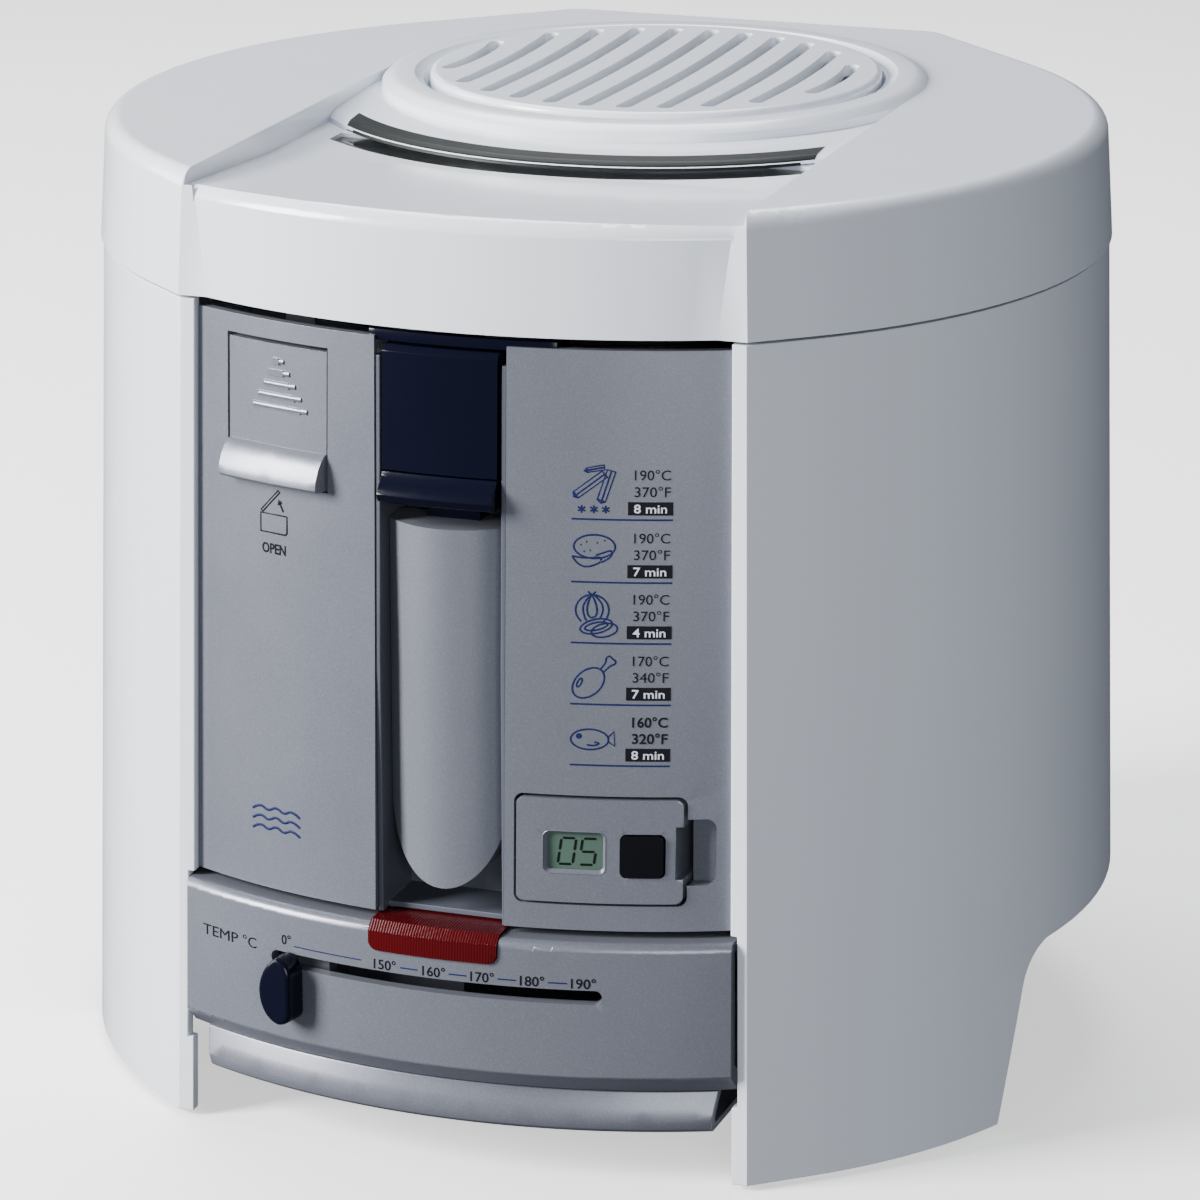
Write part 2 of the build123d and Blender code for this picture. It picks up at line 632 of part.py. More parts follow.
# ---------------------------------------------------------------- temperature slider
knob_turn = degrees(asin(knob_x / front_radius(slot_z, control_proud)))
carriage_outer = front_radius(slot_z, control_proud) - 3.8
knob_back = front_radius(46, control_proud + 0.5)
knob_plane = Plane(
    origin=(knob_back * sin(radians(knob_turn)), front_axis_y - knob_back * cos(radians(knob_turn)), 0),
    x_dir=(cos(radians(knob_turn)), sin(radians(knob_turn)), 0),
    z_dir=(sin(radians(knob_turn)), -cos(radians(knob_turn)), 0))

with BuildPart() as temperature_knob:
    with BuildSketch(knob_plane):
        with BuildLine():
            Line((4.4, 40.5), (4.4, 50.5))
            Bezier((4.4, 50.5), (4.2, 53.6), (2.0, 55.2), (0.2, 55.4))
            Bezier((0.2, 55.4), (-3.4, 53.4), (-5.6, 49.2), (-5.6, 45.6))
            Bezier((-5.6, 45.6), (-5.6, 41.0), (-3.2, 37.4), (0.4, 36.8))
            Bezier((0.4, 36.8), (3.0, 37.2), (4.4, 38.6), (4.4, 40.5))
        make_face()
    extrude(amount=6.2)
    knob_face = temperature_knob.faces().sort_by(Axis.Y)[0]
    fillet(knob_face.edges(), radius=1.4)
save(temperature_knob.part, "temperature_knob")

with BuildPart() as slider_carriage:
    sweep_front([(carriage_outer, slot_z - 5), (carriage_outer, slot_z + 5),
                 (carriage_outer - 3.6, slot_z + 5),
                 (carriage_outer - 3.6, slot_z - 5)], knob_turn - 3.2, knob_turn + 3.2)
    sweep_front([(carriage_outer - 0.01, slot_z - 1.0), (knob_back, slot_z - 1.0),
                 (knob_back, slot_z + 1.0), (carriage_outer - 0.01, slot_z + 1.0)],
                knob_turn - 0.9, knob_turn + 0.9)
save(slider_carriage.part, "slider_carriage")

# ---------------------------------------------------------------- release button, pin, spring
with BuildPart() as release_button:
    sweep_front([(front_radius(button_low, 0.4), button_low),
                 (front_radius(button_low, 3.6), button_low + 0.2),
                 (front_radius(179, 4.4), button_low + 1.0), (front_radius(181, 4.3), button_low + 3.0),
                 (front_radius(184, 3.2), button_low + 6.0), (front_radius(186, 1.9), button_low + 8.0),
                 (front_radius(187, 0.5), button_low + 9.3), (front_radius(187, -0.3), button_low + 9.5),
                 (front_radius(button_high, -0.3), button_high), (front_radius(button_high, -3.0),
                                                                  button_high),
                 (front_radius(button_low, -3.0), button_low)], -26, -4)
    hub_box(button_plane, (-button_reach, -14, -45), (button_reach, 10, 10), Mode.INTERSECT)
    hub_bar(button_plane, button_hub_radius, -15, 9)
    hub_box(button_plane, (-15, -2.2, -2.2), (9, 0, 0))
    hub_box(button_plane, (-5, -2.0, -13.4), (5, 2.2, 0))  # latch arm and nose
    hub_box(button_plane, (-5, -2.0, -13.4), (5, 7.2, -11.0))
    hub_bar(button_plane, 2.3, 9.2, 16.2, Mode.SUBTRACT)   # room for the spring
    hub_bar(button_plane, button_pin_radius + running, -30, 30, Mode.SUBTRACT)
    for i in range(5):                                     # raised ribs, shorter towards the top
        rib_z = 197.6 + 3.0 * i - button_pin_z
        rib_half = max(1.1, 7.7 - 1.75 * i)
        hub_box(button_plane, (-rib_half, -4.4, rib_z - 0.8), (rib_half, -2.6, rib_z + 0.8))
save(release_button.part, "release_button")

with BuildPart() as button_pin:
    hub_bar(button_plane, button_pin_radius, -lug_outer, lug_outer)
save(button_pin.part, "button_pin")

with BuildPart() as button_spring:
    hub_bar(button_plane, 1.9, 9.4, 15.6)
    hub_bar(button_plane, button_pin_radius, 0, 30, Mode.SUBTRACT)
save(button_spring.part, "button_spring")

# ---------------------------------------------------------------- timer
lcd_left, lcd_right, lcd_low, lcd_high = 27.6, 43.3, 84.2, 95.4
push_left, push_right, push_low, push_high = 47.1, 57.5, 83.7, 94.7
lcd_set_back = 1.2          # from the timer's face to its display
timer_back = -105.5

with BuildPart() as timer_case:
    sweep_front([(front_radius(timer_low, 0.5), timer_low), (front_radius(timer_high, 0.5), timer_high),
                 (140, timer_high), (140, timer_low)], 4, 24)
    block_seen_from_front((timer_left, timer_low), (timer_right, timer_high), 1.8, -145, timer_back,
                          Mode.INTERSECT)
    box_between((timer_right - 1.8, -150, 83), (timer_right + 1, -100, 97), Mode.SUBTRACT)
    block_seen_from_front((lcd_left, lcd_low), (lcd_right, lcd_high), 2.0, -150, -121.5, Mode.SUBTRACT)
    block_seen_from_front((push_left - 0.35, push_low - 0.35), (push_right + 0.35, push_high + 0.35), 1.7,
                          -150, -112, Mode.SUBTRACT)
    box_between((28, -108.5, 82), (46, -100, 98), Mode.SUBTRACT)
save(timer_case.part, "timer_case")

with BuildPart() as timer_display:
    display_front = front_radius(90, 0.5 - lcd_set_back)
    sweep_front([(display_front, lcd_low), (display_front, lcd_high), (150, lcd_high), (150, lcd_low)],
                4, 20)
    block_seen_from_front((lcd_left + 0.1, lcd_low + 0.1), (lcd_right - 0.1, lcd_high - 0.1), 1.9,
                          -150, -121.5, Mode.INTERSECT)
save(timer_display.part, "timer_display")

with BuildPart() as timer_battery:
    with Locations((37, -107.1, 90)):
        Cylinder(7.5, 2.6, rotation=(90, 0, 0))
save(timer_battery.part, "timer_battery")

with BuildPart() as timer_button:
    push_front = front_radius(90, 1.1)
    sweep_front([(push_front, push_low), (push_front, push_high), (150, push_high), (150, push_low)], 8, 24)
    block_seen_from_front((push_left, push_low), (push_right, push_high), 1.5, -145, -114.0, Mode.INTERSECT)
save(timer_button.part, "timer_button")

# ---------------------------------------------------------------- lid
with BuildPart() as skirt:                                 # stepped skirt between collar and window
    with BuildSketch(Plane(origin=(0, dome_y, 0), x_dir=(0, -1, 0), z_dir=(-1, 0, 0))):
        with BuildLine():
            Polyline((60, ceiling), (window_inner, ceiling), (window_inner, 249.4), (90.6, 250.6),
                     (77.5, 252.4),
                     (60, 252.4), close=True)
        make_face()
    revolve(axis=Axis((0, dome_y, 0), (0, 0, 1)))
    box_between((-band_half, -80, 240), (band_half, dome_y, 260), Mode.INTERSECT)

with BuildPart() as lid_shell:
    outline_loft(lid_radius_foot, lid_foot, lid_radius_top, lid_top)
    crown = lid_shell.faces().sort_by(Axis.Z)[-1]
    fillet(crown.edges(), radius=4.5)
    with BuildSketch(Plane.XY.offset(lid_foot)):           # bowed front between the wings
        with Locations((0, front_axis_y)):
            Circle(band_radius)
        with Locations((0, -115)):
            Rectangle(2 * band_half, 90, mode=Mode.INTERSECT)
    extrude(amount=lid_top - lid_foot)
    with BuildSketch(Plane.YZ.offset(-band_half)):         # strip lowered between the wings
        sketch_in_side_view([(-160, strip_front + 1.8), (-58, strip_floor), (dome_y, strip_floor),
                             (dome_y, 262), (-160, 262)])
    extrude(amount=2 * band_half, mode=Mode.SUBTRACT)
    add(skirt.part)
    with BuildSketch(Plane(origin=(0, dome_y, 0), x_dir=(0, -1, 0), z_dir=(-1, 0, 0))):
        with BuildLine():
            Polyline((50, 249), (50, 248), (76, 248), (75.2, 254.6), (73.2, 256.2), (71.0, collar_top),
                     (66.4, collar_top), (64.0, 255.2), (63.0, 252.5), (63.0, 249), close=True)
        make_face()
    revolve(axis=Axis((0, dome_y, 0), (0, 0, 1)))
    post(63.0, 0, dome_y, 249, 262, Mode.SUBTRACT)
    # hollow underside: full plan up to the ceiling, higher under the wings
    outline_loft(lid_radius_foot - lid_wall, lid_foot - 1, lid_radius_foot - lid_wall - 1.4, ceiling,
                 Mode.SUBTRACT)
    with BuildSketch(Plane.XY.offset(lid_foot - 1)):
        with Locations((0, front_axis_y)):
            Circle(band_radius - lid_wall)
        with Locations((0, -110)):
            Rectangle(2 * band_half - 2 * lid_wall, 80, mode=Mode.INTERSECT)
    extrude(amount=ceiling - lid_foot + 1, mode=Mode.SUBTRACT)
    post(57, 0, dome_y, 240, 262, Mode.SUBTRACT)
    # window slot
    with BuildSketch(Plane.XY.offset(240)):
        with Locations((0, dome_y)):
            Circle(window_outer)
            Circle(window_inner, mode=Mode.SUBTRACT)
        with Locations((0, -60)):
            Rectangle(2 * window_half, 2 * (dome_y - 8), mode=Mode.INTERSECT)
    extrude(amount=20, mode=Mode.SUBTRACT)
    with BuildSketch(Plane.XY.offset(240)):                # undercut behind the slot
        with Locations((0, dome_y)):
            Circle(window_outer)
            Circle(window_under, mode=Mode.SUBTRACT)
        with Locations((0, -60)):
            Rectangle(2 * window_half, 2 * (dome_y - 8), mode=Mode.INTERSECT)
    extrude(amount=skirt_lip - 240, mode=Mode.SUBTRACT)
    with BuildSketch(front_plane(-26.1)) as edge_profile:  # rounded upper edge of the band
        with BuildLine():
            Line((band_radius + 0.1, strip_front - band_edge), (band_radius + 0.3, strip_front - band_edge))
            Line((band_radius + 0.3, strip_front - band_edge), (band_radius + 0.3, 258))
            Line((band_radius + 0.3, 258), (band_radius - band_edge, 258))
            Line((band_radius - band_edge, 258), (band_radius - band_edge, strip_front))
            ThreePointArc((band_radius - band_edge, strip_front),
                          (band_radius - 0.3 * band_edge, strip_front - 0.3 * band_edge),
                          (band_radius + 0.1, strip_front - band_edge))
        make_face()
    revolve(edge_profile.sketch, axis=Axis((0, front_axis_y, 0), (0, 0, 1)), revolution_arc=52.2,
            mode=Mode.SUBTRACT)
    # room for the hinge barrel, and the lid's own knuckles
    box_between((-80, hinge_y - hinge_radius - 1, lid_foot - 2), (80, 145, hinge_z + hinge_radius + 1),
                Mode.SUBTRACT)
    for side in (-1, 1):
        x_low, x_high = sorted((side * 12.3, side * 29.7))
        bar(hinge_radius, x_low, x_high, hinge_y, hinge_z)
        box_between((x_low, hinge_y - 5, hinge_z), (x_high, hinge_y + 5, ceiling + 1))
    bar(hinge_pin_radius + running, -60, 60, hinge_y, hinge_z, Mode.SUBTRACT)
save(lid_shell.part, "lid_shell")

with BuildPart() as window_glass:
    with BuildSketch(Plane.XY.offset(ceiling + 0.6)):
        with Locations((0, dome_y)):
            Circle(window_outer - 0.2)
            Circle(window_under + 0.2, mode=Mode.SUBTRACT)
        with Locations((0, -60)):
            Rectangle(2 * window_half - 0.4, 2 * (dome_y - 8) - 0.4, mode=Mode.INTERSECT)
    extrude(amount=2)
save(window_glass.part, "window_glass")

seal_radius = 93.0
with BuildPart() as lid_liner:
    post(seal_radius + 3, 0, bowl_y, 242.9, 243.9)
    with BuildSketch(Plane.XY.offset(213.5)):
        with Locations((0, bowl_y)):
            Circle(seal_radius)
            Circle(seal_radius - 1, mode=Mode.SUBTRACT)
    extrude(amount=242.9 - 213.5)
    box_between((-18, -100, 200), (18, -60, 242.8), Mode.SUBTRACT)
    post(44, 0, dome_y, 240, 246, Mode.SUBTRACT)
    with BuildSketch(Plane.XY.offset(240)):
        with Locations((0, dome_y)):
            Circle(window_outer)
            Circle(window_under - 2, mode=Mode.SUBTRACT)
        with Locations((0, -60)):
            Rectangle(110, 2 * (dome_y - 8), mode=Mode.INTERSECT)
    extrude(amount=10, mode=Mode.SUBTRACT)
save(lid_liner.part, "lid_liner")

with BuildPart() as lid_gasket:
    with BuildSketch(Plane.XY.offset(rim_z + bowl_wall + 0.4)):
        with Locations((0, bowl_y)):
            Circle(seal_radius + 2)
            Circle(seal_radius - 3, mode=Mode.SUBTRACT)
    extrude(amount=213.5 - rim_z - bowl_wall - 0.4)
    box_between((-18, -100, 200), (18, -60, 220), Mode.SUBTRACT)
save(lid_gasket.part, "lid_gasket")

with BuildPart() as filter_cartridge:
    post(56.5, 0, dome_y, 244.0, 248.6)
save(filter_cartridge.part, "filter_cartridge")

keeper_foot, keeper_back = 195.5, -102.6
with BuildPart() as lid_keeper:
    box_between((button_x - 4, keeper_back - 1.6, keeper_foot), (button_x + 4, keeper_back, ceiling))
    box_between((button_x - 4, keeper_back - 4.4, keeper_foot),
                (button_x + 4, keeper_back, keeper_foot + 2.1))
save(lid_keeper.part, "lid_keeper")

slot_pitch = 10.4
slot_width = 4.2
slot_bow = 1.6
with BuildPart() as filter_cover:
    post(cover_radius, 0, dome_y, 249.4, cover_top)
    fillet(filter_cover.edges().group_by(Axis.Z)[-1], radius=1.6)
    post(cover_radius - 2.4, 0, dome_y, 249.0, cover_top - 3.2, Mode.SUBTRACT)
    for i in range(-5, 6):                                 # bowed slots, front to rear
        x = i * slot_pitch
        reach = sqrt((cover_radius - 6) ** 2 - x**2) - slot_width / 2
        with BuildSketch(Plane.XY.offset(cover_top - 5)):
            with BuildLine(mode=Mode.PRIVATE) as slot_line:
                ThreePointArc((x - slot_bow, dome_y - reach), (x, dome_y), (x - slot_bow, dome_y + reach))
            SlotArc(slot_line.edges()[0], height=slot_width)
        extrude(amount=10, mode=Mode.SUBTRACT)
save(filter_cover.part, "filter_cover")

# ---------------------------------------------------------------- hinge
with BuildPart() as hinge_bracket:
    for x_low, x_high in ((-68, -30), (-12, 12), (30, 68)):
        bar(hinge_radius, x_low, x_high, hinge_y, hinge_z)
    outline_loft(lid_radius_foot, 220, lid_radius_foot - 0.6, 240, Mode.INTERSECT)
    for x_low, x_high in ((-48, -30), (-12, 12), (30, 48)):
        box_between((x_low, hinge_y - 5, rim_z), (x_high, hinge_y + 3.6, hinge_z))
    box_between((-48, hinge_y - 9, rim_z), (48, hinge_y + 3.6, rim_z + 3))
    bar(hinge_pin_radius, -52, 52, hinge_y, hinge_z, Mode.SUBTRACT)
save(hinge_bracket.part, "hinge_bracket")

with BuildPart() as hinge_pin:
    bar(hinge_pin_radius, -52, 52, hinge_y, hinge_z)
save(hinge_pin.part, "hinge_pin")
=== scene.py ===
import math
import bpy
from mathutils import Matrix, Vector


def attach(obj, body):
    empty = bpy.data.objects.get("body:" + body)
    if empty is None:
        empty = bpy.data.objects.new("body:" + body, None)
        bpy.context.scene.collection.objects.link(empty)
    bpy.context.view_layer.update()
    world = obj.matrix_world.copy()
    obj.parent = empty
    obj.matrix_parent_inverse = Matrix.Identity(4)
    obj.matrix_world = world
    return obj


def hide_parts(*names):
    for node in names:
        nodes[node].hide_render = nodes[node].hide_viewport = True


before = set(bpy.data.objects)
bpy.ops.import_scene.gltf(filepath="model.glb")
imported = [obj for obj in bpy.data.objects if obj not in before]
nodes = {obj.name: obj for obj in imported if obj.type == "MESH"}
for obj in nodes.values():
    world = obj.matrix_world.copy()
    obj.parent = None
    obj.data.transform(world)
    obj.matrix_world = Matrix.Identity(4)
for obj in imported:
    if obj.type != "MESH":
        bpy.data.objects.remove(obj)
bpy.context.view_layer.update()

print("deep fryer: frame loaded,", len(nodes), "nodes")


def clearSelection():
    if bpy.context.object and bpy.context.object.mode != "OBJECT":
        bpy.ops.object.mode_set(mode="OBJECT")
    bpy.ops.object.select_all(action="DESELECT")


def pick(piece):
    clearSelection()
    piece.select_set(True)
    bpy.context.view_layer.objects.active = piece
    return piece


def settle(piece):
    # the place goes into the mesh, the object stays at the origin
    pick(piece)
    bpy.ops.object.transform_apply(location=True, rotation=True, scale=True)
    return piece


def applyAll(piece):
    pick(piece)
    for modifier in list(piece.modifiers):
        bpy.ops.object.modifier_apply(modifier=modifier.name)
    return piece


def smooth(piece, degrees=35):
    pick(piece)
    bpy.ops.object.shade_smooth_by_angle(angle=math.radians(degrees))
    return piece


def joined(pieces, name):
    clearSelection()
    for piece in pieces:
        piece.select_set(True)
    bpy.context.view_layer.objects.active = pieces[0]
    if len(pieces) > 1:
        bpy.ops.object.join()
    whole = bpy.context.object
    whole.name = name
    whole.data.name = name
    return whole


def dress(piece, material, body=None):
    piece.data.materials.clear()
    piece.data.materials.append(material)
    if body:
        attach(piece, body)
    return piece


def selectInEdit(piece, mode, test):
    # picks vertices, edges or faces of a mesh by a test on their place
    pick(piece)
    bpy.ops.object.mode_set(mode="EDIT")
    bpy.ops.mesh.select_mode(type=mode)
    bpy.ops.mesh.select_all(action="DESELECT")
    bpy.ops.object.mode_set(mode="OBJECT")
    mesh = piece.data
    if mode == "VERT":
        for vertex in mesh.vertices:
            vertex.select = test(vertex.co)
    elif mode == "EDGE":
        for edge in mesh.edges:
            a, b = (mesh.vertices[i].co for i in edge.vertices)
            edge.select = test(a, b)
    else:
        for face in mesh.polygons:
            face.select = test(face.center, face.normal)
    bpy.ops.object.mode_set(mode="EDIT")


def leaveEdit():
    bpy.ops.object.mode_set(mode="OBJECT")


# the bowed front, metres
front = {"axisY": 0.041, "radius": 0.168, "radiusAt": 0.220, "draft": 0.0262, "controlProud": 0.005}


def frontY(x, z, proud=0.0, level=None):
    # level: a height whose radius is kept all the way up
    height = z if level is None else level
    radius = front["radius"] + front["draft"] * (front["radiusAt"] - height) + proud
    return front["axisY"] - math.sqrt(radius ** 2 - x ** 2)


def wrapOnFront(piece, x, z, proud, thickness=1.0, level=None):
    # a flat drawing in XY is laid on the bowed front, its own Z pointing outwards
    for vertex in piece.data.vertices:
        px, pz = vertex.co.x + x, vertex.co.y + z
        vertex.co = (px, frontY(px, pz, proud, level) - vertex.co.z * thickness, pz)
    piece.data.update()
    return piece


def newGroup(name, inputs, outputs):
    group = bpy.data.node_groups.new(name, "ShaderNodeTree")
    for label, kind, value in inputs:
        socket = group.interface.new_socket(name=label, in_out="INPUT", socket_type=kind)
        socket.default_value = value
    for label, kind in outputs:
        group.interface.new_socket(name=label, in_out="OUTPUT", socket_type=kind)
    return group, group.nodes.new("NodeGroupInput"), group.nodes.new("NodeGroupOutput")


def mathNode(tree, operation, first, second):
    node = tree.nodes.new("ShaderNodeMath")
    node.operation = operation
    for socket, value in zip(node.inputs, (first, second)):
        if isinstance(value, (int, float)):
            socket.default_value = value
        else:
            tree.links.new(value, socket)
    return node.outputs[0]


def noiseNode(tree, vector, scale, detail=3.0, roughness=0.5):
    node = tree.nodes.new("ShaderNodeTexNoise")
    node.inputs["Detail"].default_value = detail
    node.inputs["Roughness"].default_value = roughness
    tree.links.new(vector, node.inputs["Vector"])
    if isinstance(scale, (int, float)):
        node.inputs["Scale"].default_value = scale
    else:
        tree.links.new(scale, node.inputs["Scale"])
    return node.outputs["Fac"]


def mixColour(tree, factor, first, second):
    node = tree.nodes.new("ShaderNodeMix")
    node.data_type = "RGBA"
    tree.links.new(factor, node.inputs["Factor"])
    for socket, value in ((node.inputs["A"], first), (node.inputs["B"], second)):
        if isinstance(value, tuple):
            socket.default_value = (*value, 1)
        else:
            tree.links.new(value, socket)
    return node.outputs["Result"]


def buildMoulded():
    # moulded plastic: slow colour drift, handling marks in the gloss, fine moulding grain
    group, given, made = newGroup("mouldedPlastic", [
        ("Colour", "NodeSocketColor", (0.8, 0.8, 0.8, 1)),
        ("Drift colour", "NodeSocketColor", (0.7, 0.7, 0.7, 1)),
        ("Gloss roughness", "NodeSocketFloat", 0.3),
        ("Gloss spread", "NodeSocketFloat", 0.1),
        ("Grain scale", "NodeSocketFloat", 900.0),
    ], [("Colour", "NodeSocketColor"), ("Roughness", "NodeSocketFloat"), ("Height", "NodeSocketFloat")])
    place = group.nodes.new("ShaderNodeTexCoord").outputs["Object"]
    drift = noiseNode(group, place, 9.0, 2.0)
    marks = noiseNode(group, place, 70.0, 6.0, 0.65)
    grain = noiseNode(group, place, given.outputs["Grain scale"], 2.0)
    colour = mixColour(group, drift, given.outputs["Colour"], given.outputs["Drift colour"])
    centred = mathNode(group, "SUBTRACT", marks, 0.5)
    spread = mathNode(group, "MULTIPLY", centred, given.outputs["Gloss spread"])
    roughness = mathNode(group, "ADD", given.outputs["Gloss roughness"], spread)
    group.links.new(colour, made.inputs["Colour"])
    group.links.new(roughness, made.inputs["Roughness"])
    group.links.new(grain, made.inputs["Height"])
    return group


def buildFlake():
    # metallic paint: tiny flakes that differ in brightness
    group, given, made = newGroup("metalFlake", [
        ("Colour", "NodeSocketColor", (0.5, 0.5, 0.5, 1)),
        ("Flake colour", "NodeSocketColor", (0.8, 0.8, 0.8, 1)),
        ("Flake scale", "NodeSocketFloat", 2600.0),
        ("Roughness", "NodeSocketFloat", 0.4),
    ], [("Colour", "NodeSocketColor"), ("Roughness", "NodeSocketFloat"), ("Height", "NodeSocketFloat")])
    place = group.nodes.new("ShaderNodeTexCoord").outputs["Object"]
    cells = group.nodes.new("ShaderNodeTexVoronoi")
    group.links.new(place, cells.inputs["Vector"])
    group.links.new(given.outputs["Flake scale"], cells.inputs["Scale"])
    split = group.nodes.new("ShaderNodeSeparateColor")
    group.links.new(cells.outputs["Color"], split.inputs[0])
    flake = mathNode(group, "POWER", split.outputs[0], 4.0)
    colour = mixColour(group, flake, given.outputs["Colour"], given.outputs["Flake colour"])
    marks = noiseNode(group, place, 45.0, 5.0, 0.6)
    rough = mathNode(group, "ADD", given.outputs["Roughness"],
                     mathNode(group, "MULTIPLY", mathNode(group, "SUBTRACT", marks, 0.5), 0.12))
    group.links.new(colour, made.inputs["Colour"])
    group.links.new(rough, made.inputs["Roughness"])
    group.links.new(split.outputs[1], made.inputs["Height"])
    return group


def buildBrushed():
    # drawn or turned metal: fine streaks along one direction
    group, given, made = newGroup("brushedMetal", [
        ("Colour", "NodeSocketColor", (0.6, 0.6, 0.6, 1)),
        ("Streak colour", "NodeSocketColor", (0.45, 0.45, 0.45, 1)),
        ("Stretch", "NodeSocketVector", (40.0, 40.0, 900.0)),
        ("Roughness", "NodeSocketFloat", 0.3),
    ], [("Colour", "NodeSocketColor"), ("Roughness", "NodeSocketFloat"), ("Height", "NodeSocketFloat")])
    place = group.nodes.new("ShaderNodeTexCoord").outputs["Object"]
    stretch = group.nodes.new("ShaderNodeVectorMath")
    stretch.operation = "MULTIPLY"
    group.links.new(place, stretch.inputs[0])
    group.links.new(given.outputs["Stretch"], stretch.inputs[1])
    streak = noiseNode(group, stretch.outputs[0], 1.0, 4.0, 0.6)
    colour = mixColour(group, streak, given.outputs["Colour"], given.outputs["Streak colour"])
    rough = mathNode(group, "ADD", given.outputs["Roughness"],
                     mathNode(group, "MULTIPLY", mathNode(group, "SUBTRACT", streak, 0.5), 0.14))
    group.links.new(colour, made.inputs["Colour"])
    group.links.new(rough, made.inputs["Roughness"])
    group.links.new(streak, made.inputs["Height"])
    return group


moulded = buildMoulded()
flaked = buildFlake()
brushed = buildBrushed()


def newMaterial(name, group, values, bump, fixed):
    # group gives colour, roughness and height; fixed are plain values on the shader's own sockets
    material = bpy.data.materials.new(name)
    material.use_nodes = True
    tree = material.node_tree
    shader = tree.nodes["Principled BSDF"]
    effect = tree.nodes.new("ShaderNodeGroup")
    effect.node_tree = group
    for label, value in values.items():
        effect.inputs[label].default_value = value
    tree.links.new(effect.outputs["Colour"], shader.inputs["Base Color"])
    tree.links.new(effect.outputs["Roughness"], shader.inputs["Roughness"])
    relief = tree.nodes.new("ShaderNodeBump")
    relief.inputs["Strength"].default_value = bump[0]
    relief.inputs["Distance"].default_value = bump[1]
    tree.links.new(effect.outputs["Height"], relief.inputs["Height"])
    tree.links.new(relief.outputs["Normal"], shader.inputs["Normal"])
    for label, value in fixed.items():
        shader.inputs[label].default_value = value
    return material


def plastic(name, colour, drift, roughness, spread=0.1, grain=900.0, bump=(0.15, 0.0001), **fixed):
    return newMaterial(name, moulded, {
        "Colour": (*colour, 1), "Drift colour": (*drift, 1), "Gloss roughness": roughness,
        "Gloss spread": spread, "Grain scale": grain}, bump, fixed)


def paint(name, colour, flake, roughness, scale=2600.0, bump=(0.05, 0.00005), **fixed):
    return newMaterial(name, flaked, {
        "Colour": (*colour, 1), "Flake colour": (*flake, 1), "Roughness": roughness, "Flake scale": scale},
        bump, fixed)


def metal(name, colour, streak, roughness, stretch, bump=(0.1, 0.00005), **fixed):
    fixed.setdefault("Metallic", 1.0)
    return newMaterial(name, brushed, {
        "Colour": (*colour, 1), "Streak colour": (*streak, 1), "Roughness": roughness, "Stretch": stretch},
        bump, fixed)


whiteShell = plastic("whiteShell", (0.74, 0.78, 0.84), (0.71, 0.75, 0.82), 0.22, 0.08, 700.0,
                     (0.05, 0.0001), **{"Coat Weight": 0.35, "Coat Roughness": 0.08})
silverPanel = paint("silverPanel", (0.150, 0.160, 0.192), (0.20, 0.212, 0.250), 0.36, 5200.0,
                    (0.02, 0.00002), **{"Metallic": 0.45, "Coat Weight": 0.2, "Coat Roughness": 0.2})
gripPaint = paint("gripPaint", (0.165, 0.177, 0.210), (0.215, 0.228, 0.265), 0.36, 5200.0,
                  (0.02, 0.00002), **{"Metallic": 0.4, "Coat Weight": 0.2, "Coat Roughness": 0.2})
navyPlastic = plastic("navyPlastic", (0.0022, 0.0026, 0.0085), (0.0030, 0.0036, 0.011), 0.20, 0.08, 1200.0,
                      (0.04, 0.0001), **{"Specular IOR Level": 0.22})
darkPlastic = plastic("darkPlastic", (0.030, 0.033, 0.045), (0.045, 0.048, 0.060), 0.45, 0.15, 1100.0,
                      (0.3, 0.0001))
# the channel's own grey, darkened a little further: painted shade for the recess around the grip
channelShadedPlastic = plastic("channelShadedPlastic", (0.060, 0.066, 0.085), (0.075, 0.083, 0.105), 0.38, 0.15, 1100.0,
                         (0.2, 0.0001))
blackButton = plastic("blackButton", (0.0025, 0.0025, 0.004), (0.004, 0.004, 0.006), 0.26, 0.10, 1400.0,
                      (0.06, 0.0001), **{"Specular IOR Level": 0.2})
rubber = plastic("rubberFoot", (0.030, 0.030, 0.032), (0.045, 0.044, 0.044), 0.75, 0.15, 1500.0,
                 (0.5, 0.0002))
# the felt's own grey, darkened so the cover's slots read dark: painted shade inside the slots
shadedFelt = plastic("filterFelt", (0.16, 0.16, 0.155), (0.11, 0.11, 0.105), 0.95, 0.05, 1600.0, (0.9, 0.0006))
steel = metal("brushedSteel", (0.62, 0.62, 0.63), (0.50, 0.50, 0.52), 0.36, (60.0, 60.0, 500.0),
              (0.01, 0.00001))
chrome = metal("chromeWire", (0.82, 0.82, 0.84), (0.70, 0.70, 0.73), 0.10, (300.0, 300.0, 300.0),
               (0.03, 0.00003))
nonstick = paint("nonstickCoat", (0.020, 0.020, 0.022), (0.060, 0.060, 0.065), 0.35, 1800.0, (0.12, 0.0001))
navyInk = plastic("navyInk", (0.006, 0.010, 0.060), (0.009, 0.014, 0.075), 0.45, 0.1, 2500.0,
                  (0.1, 0.00005), **{"Specular IOR Level": 0.15})
blackInk = plastic("blackInk", (0.003, 0.003, 0.006), (0.005, 0.005, 0.009), 0.45, 0.1, 2500.0,
                   (0.1, 0.00005), **{"Specular IOR Level": 0.15})
paleInk = plastic("paleInk", (0.62, 0.65, 0.72), (0.58, 0.61, 0.68), 0.45, 0.1, 2500.0, (0.1, 0.00005))
lcdGlass = plastic("displayGlass", (0.070, 0.115, 0.092), (0.058, 0.098, 0.078), 0.14, 0.05, 400.0,
                   (0.02, 0.0001), **{"Coat Weight": 0.2, "Coat Roughness": 0.03})
lcdInk = plastic("displayInk", (0.004, 0.007, 0.006), (0.006, 0.010, 0.008), 0.3, 0.05, 800.0,
                 (0.02, 0.0001), **{"Specular IOR Level": 0.15})
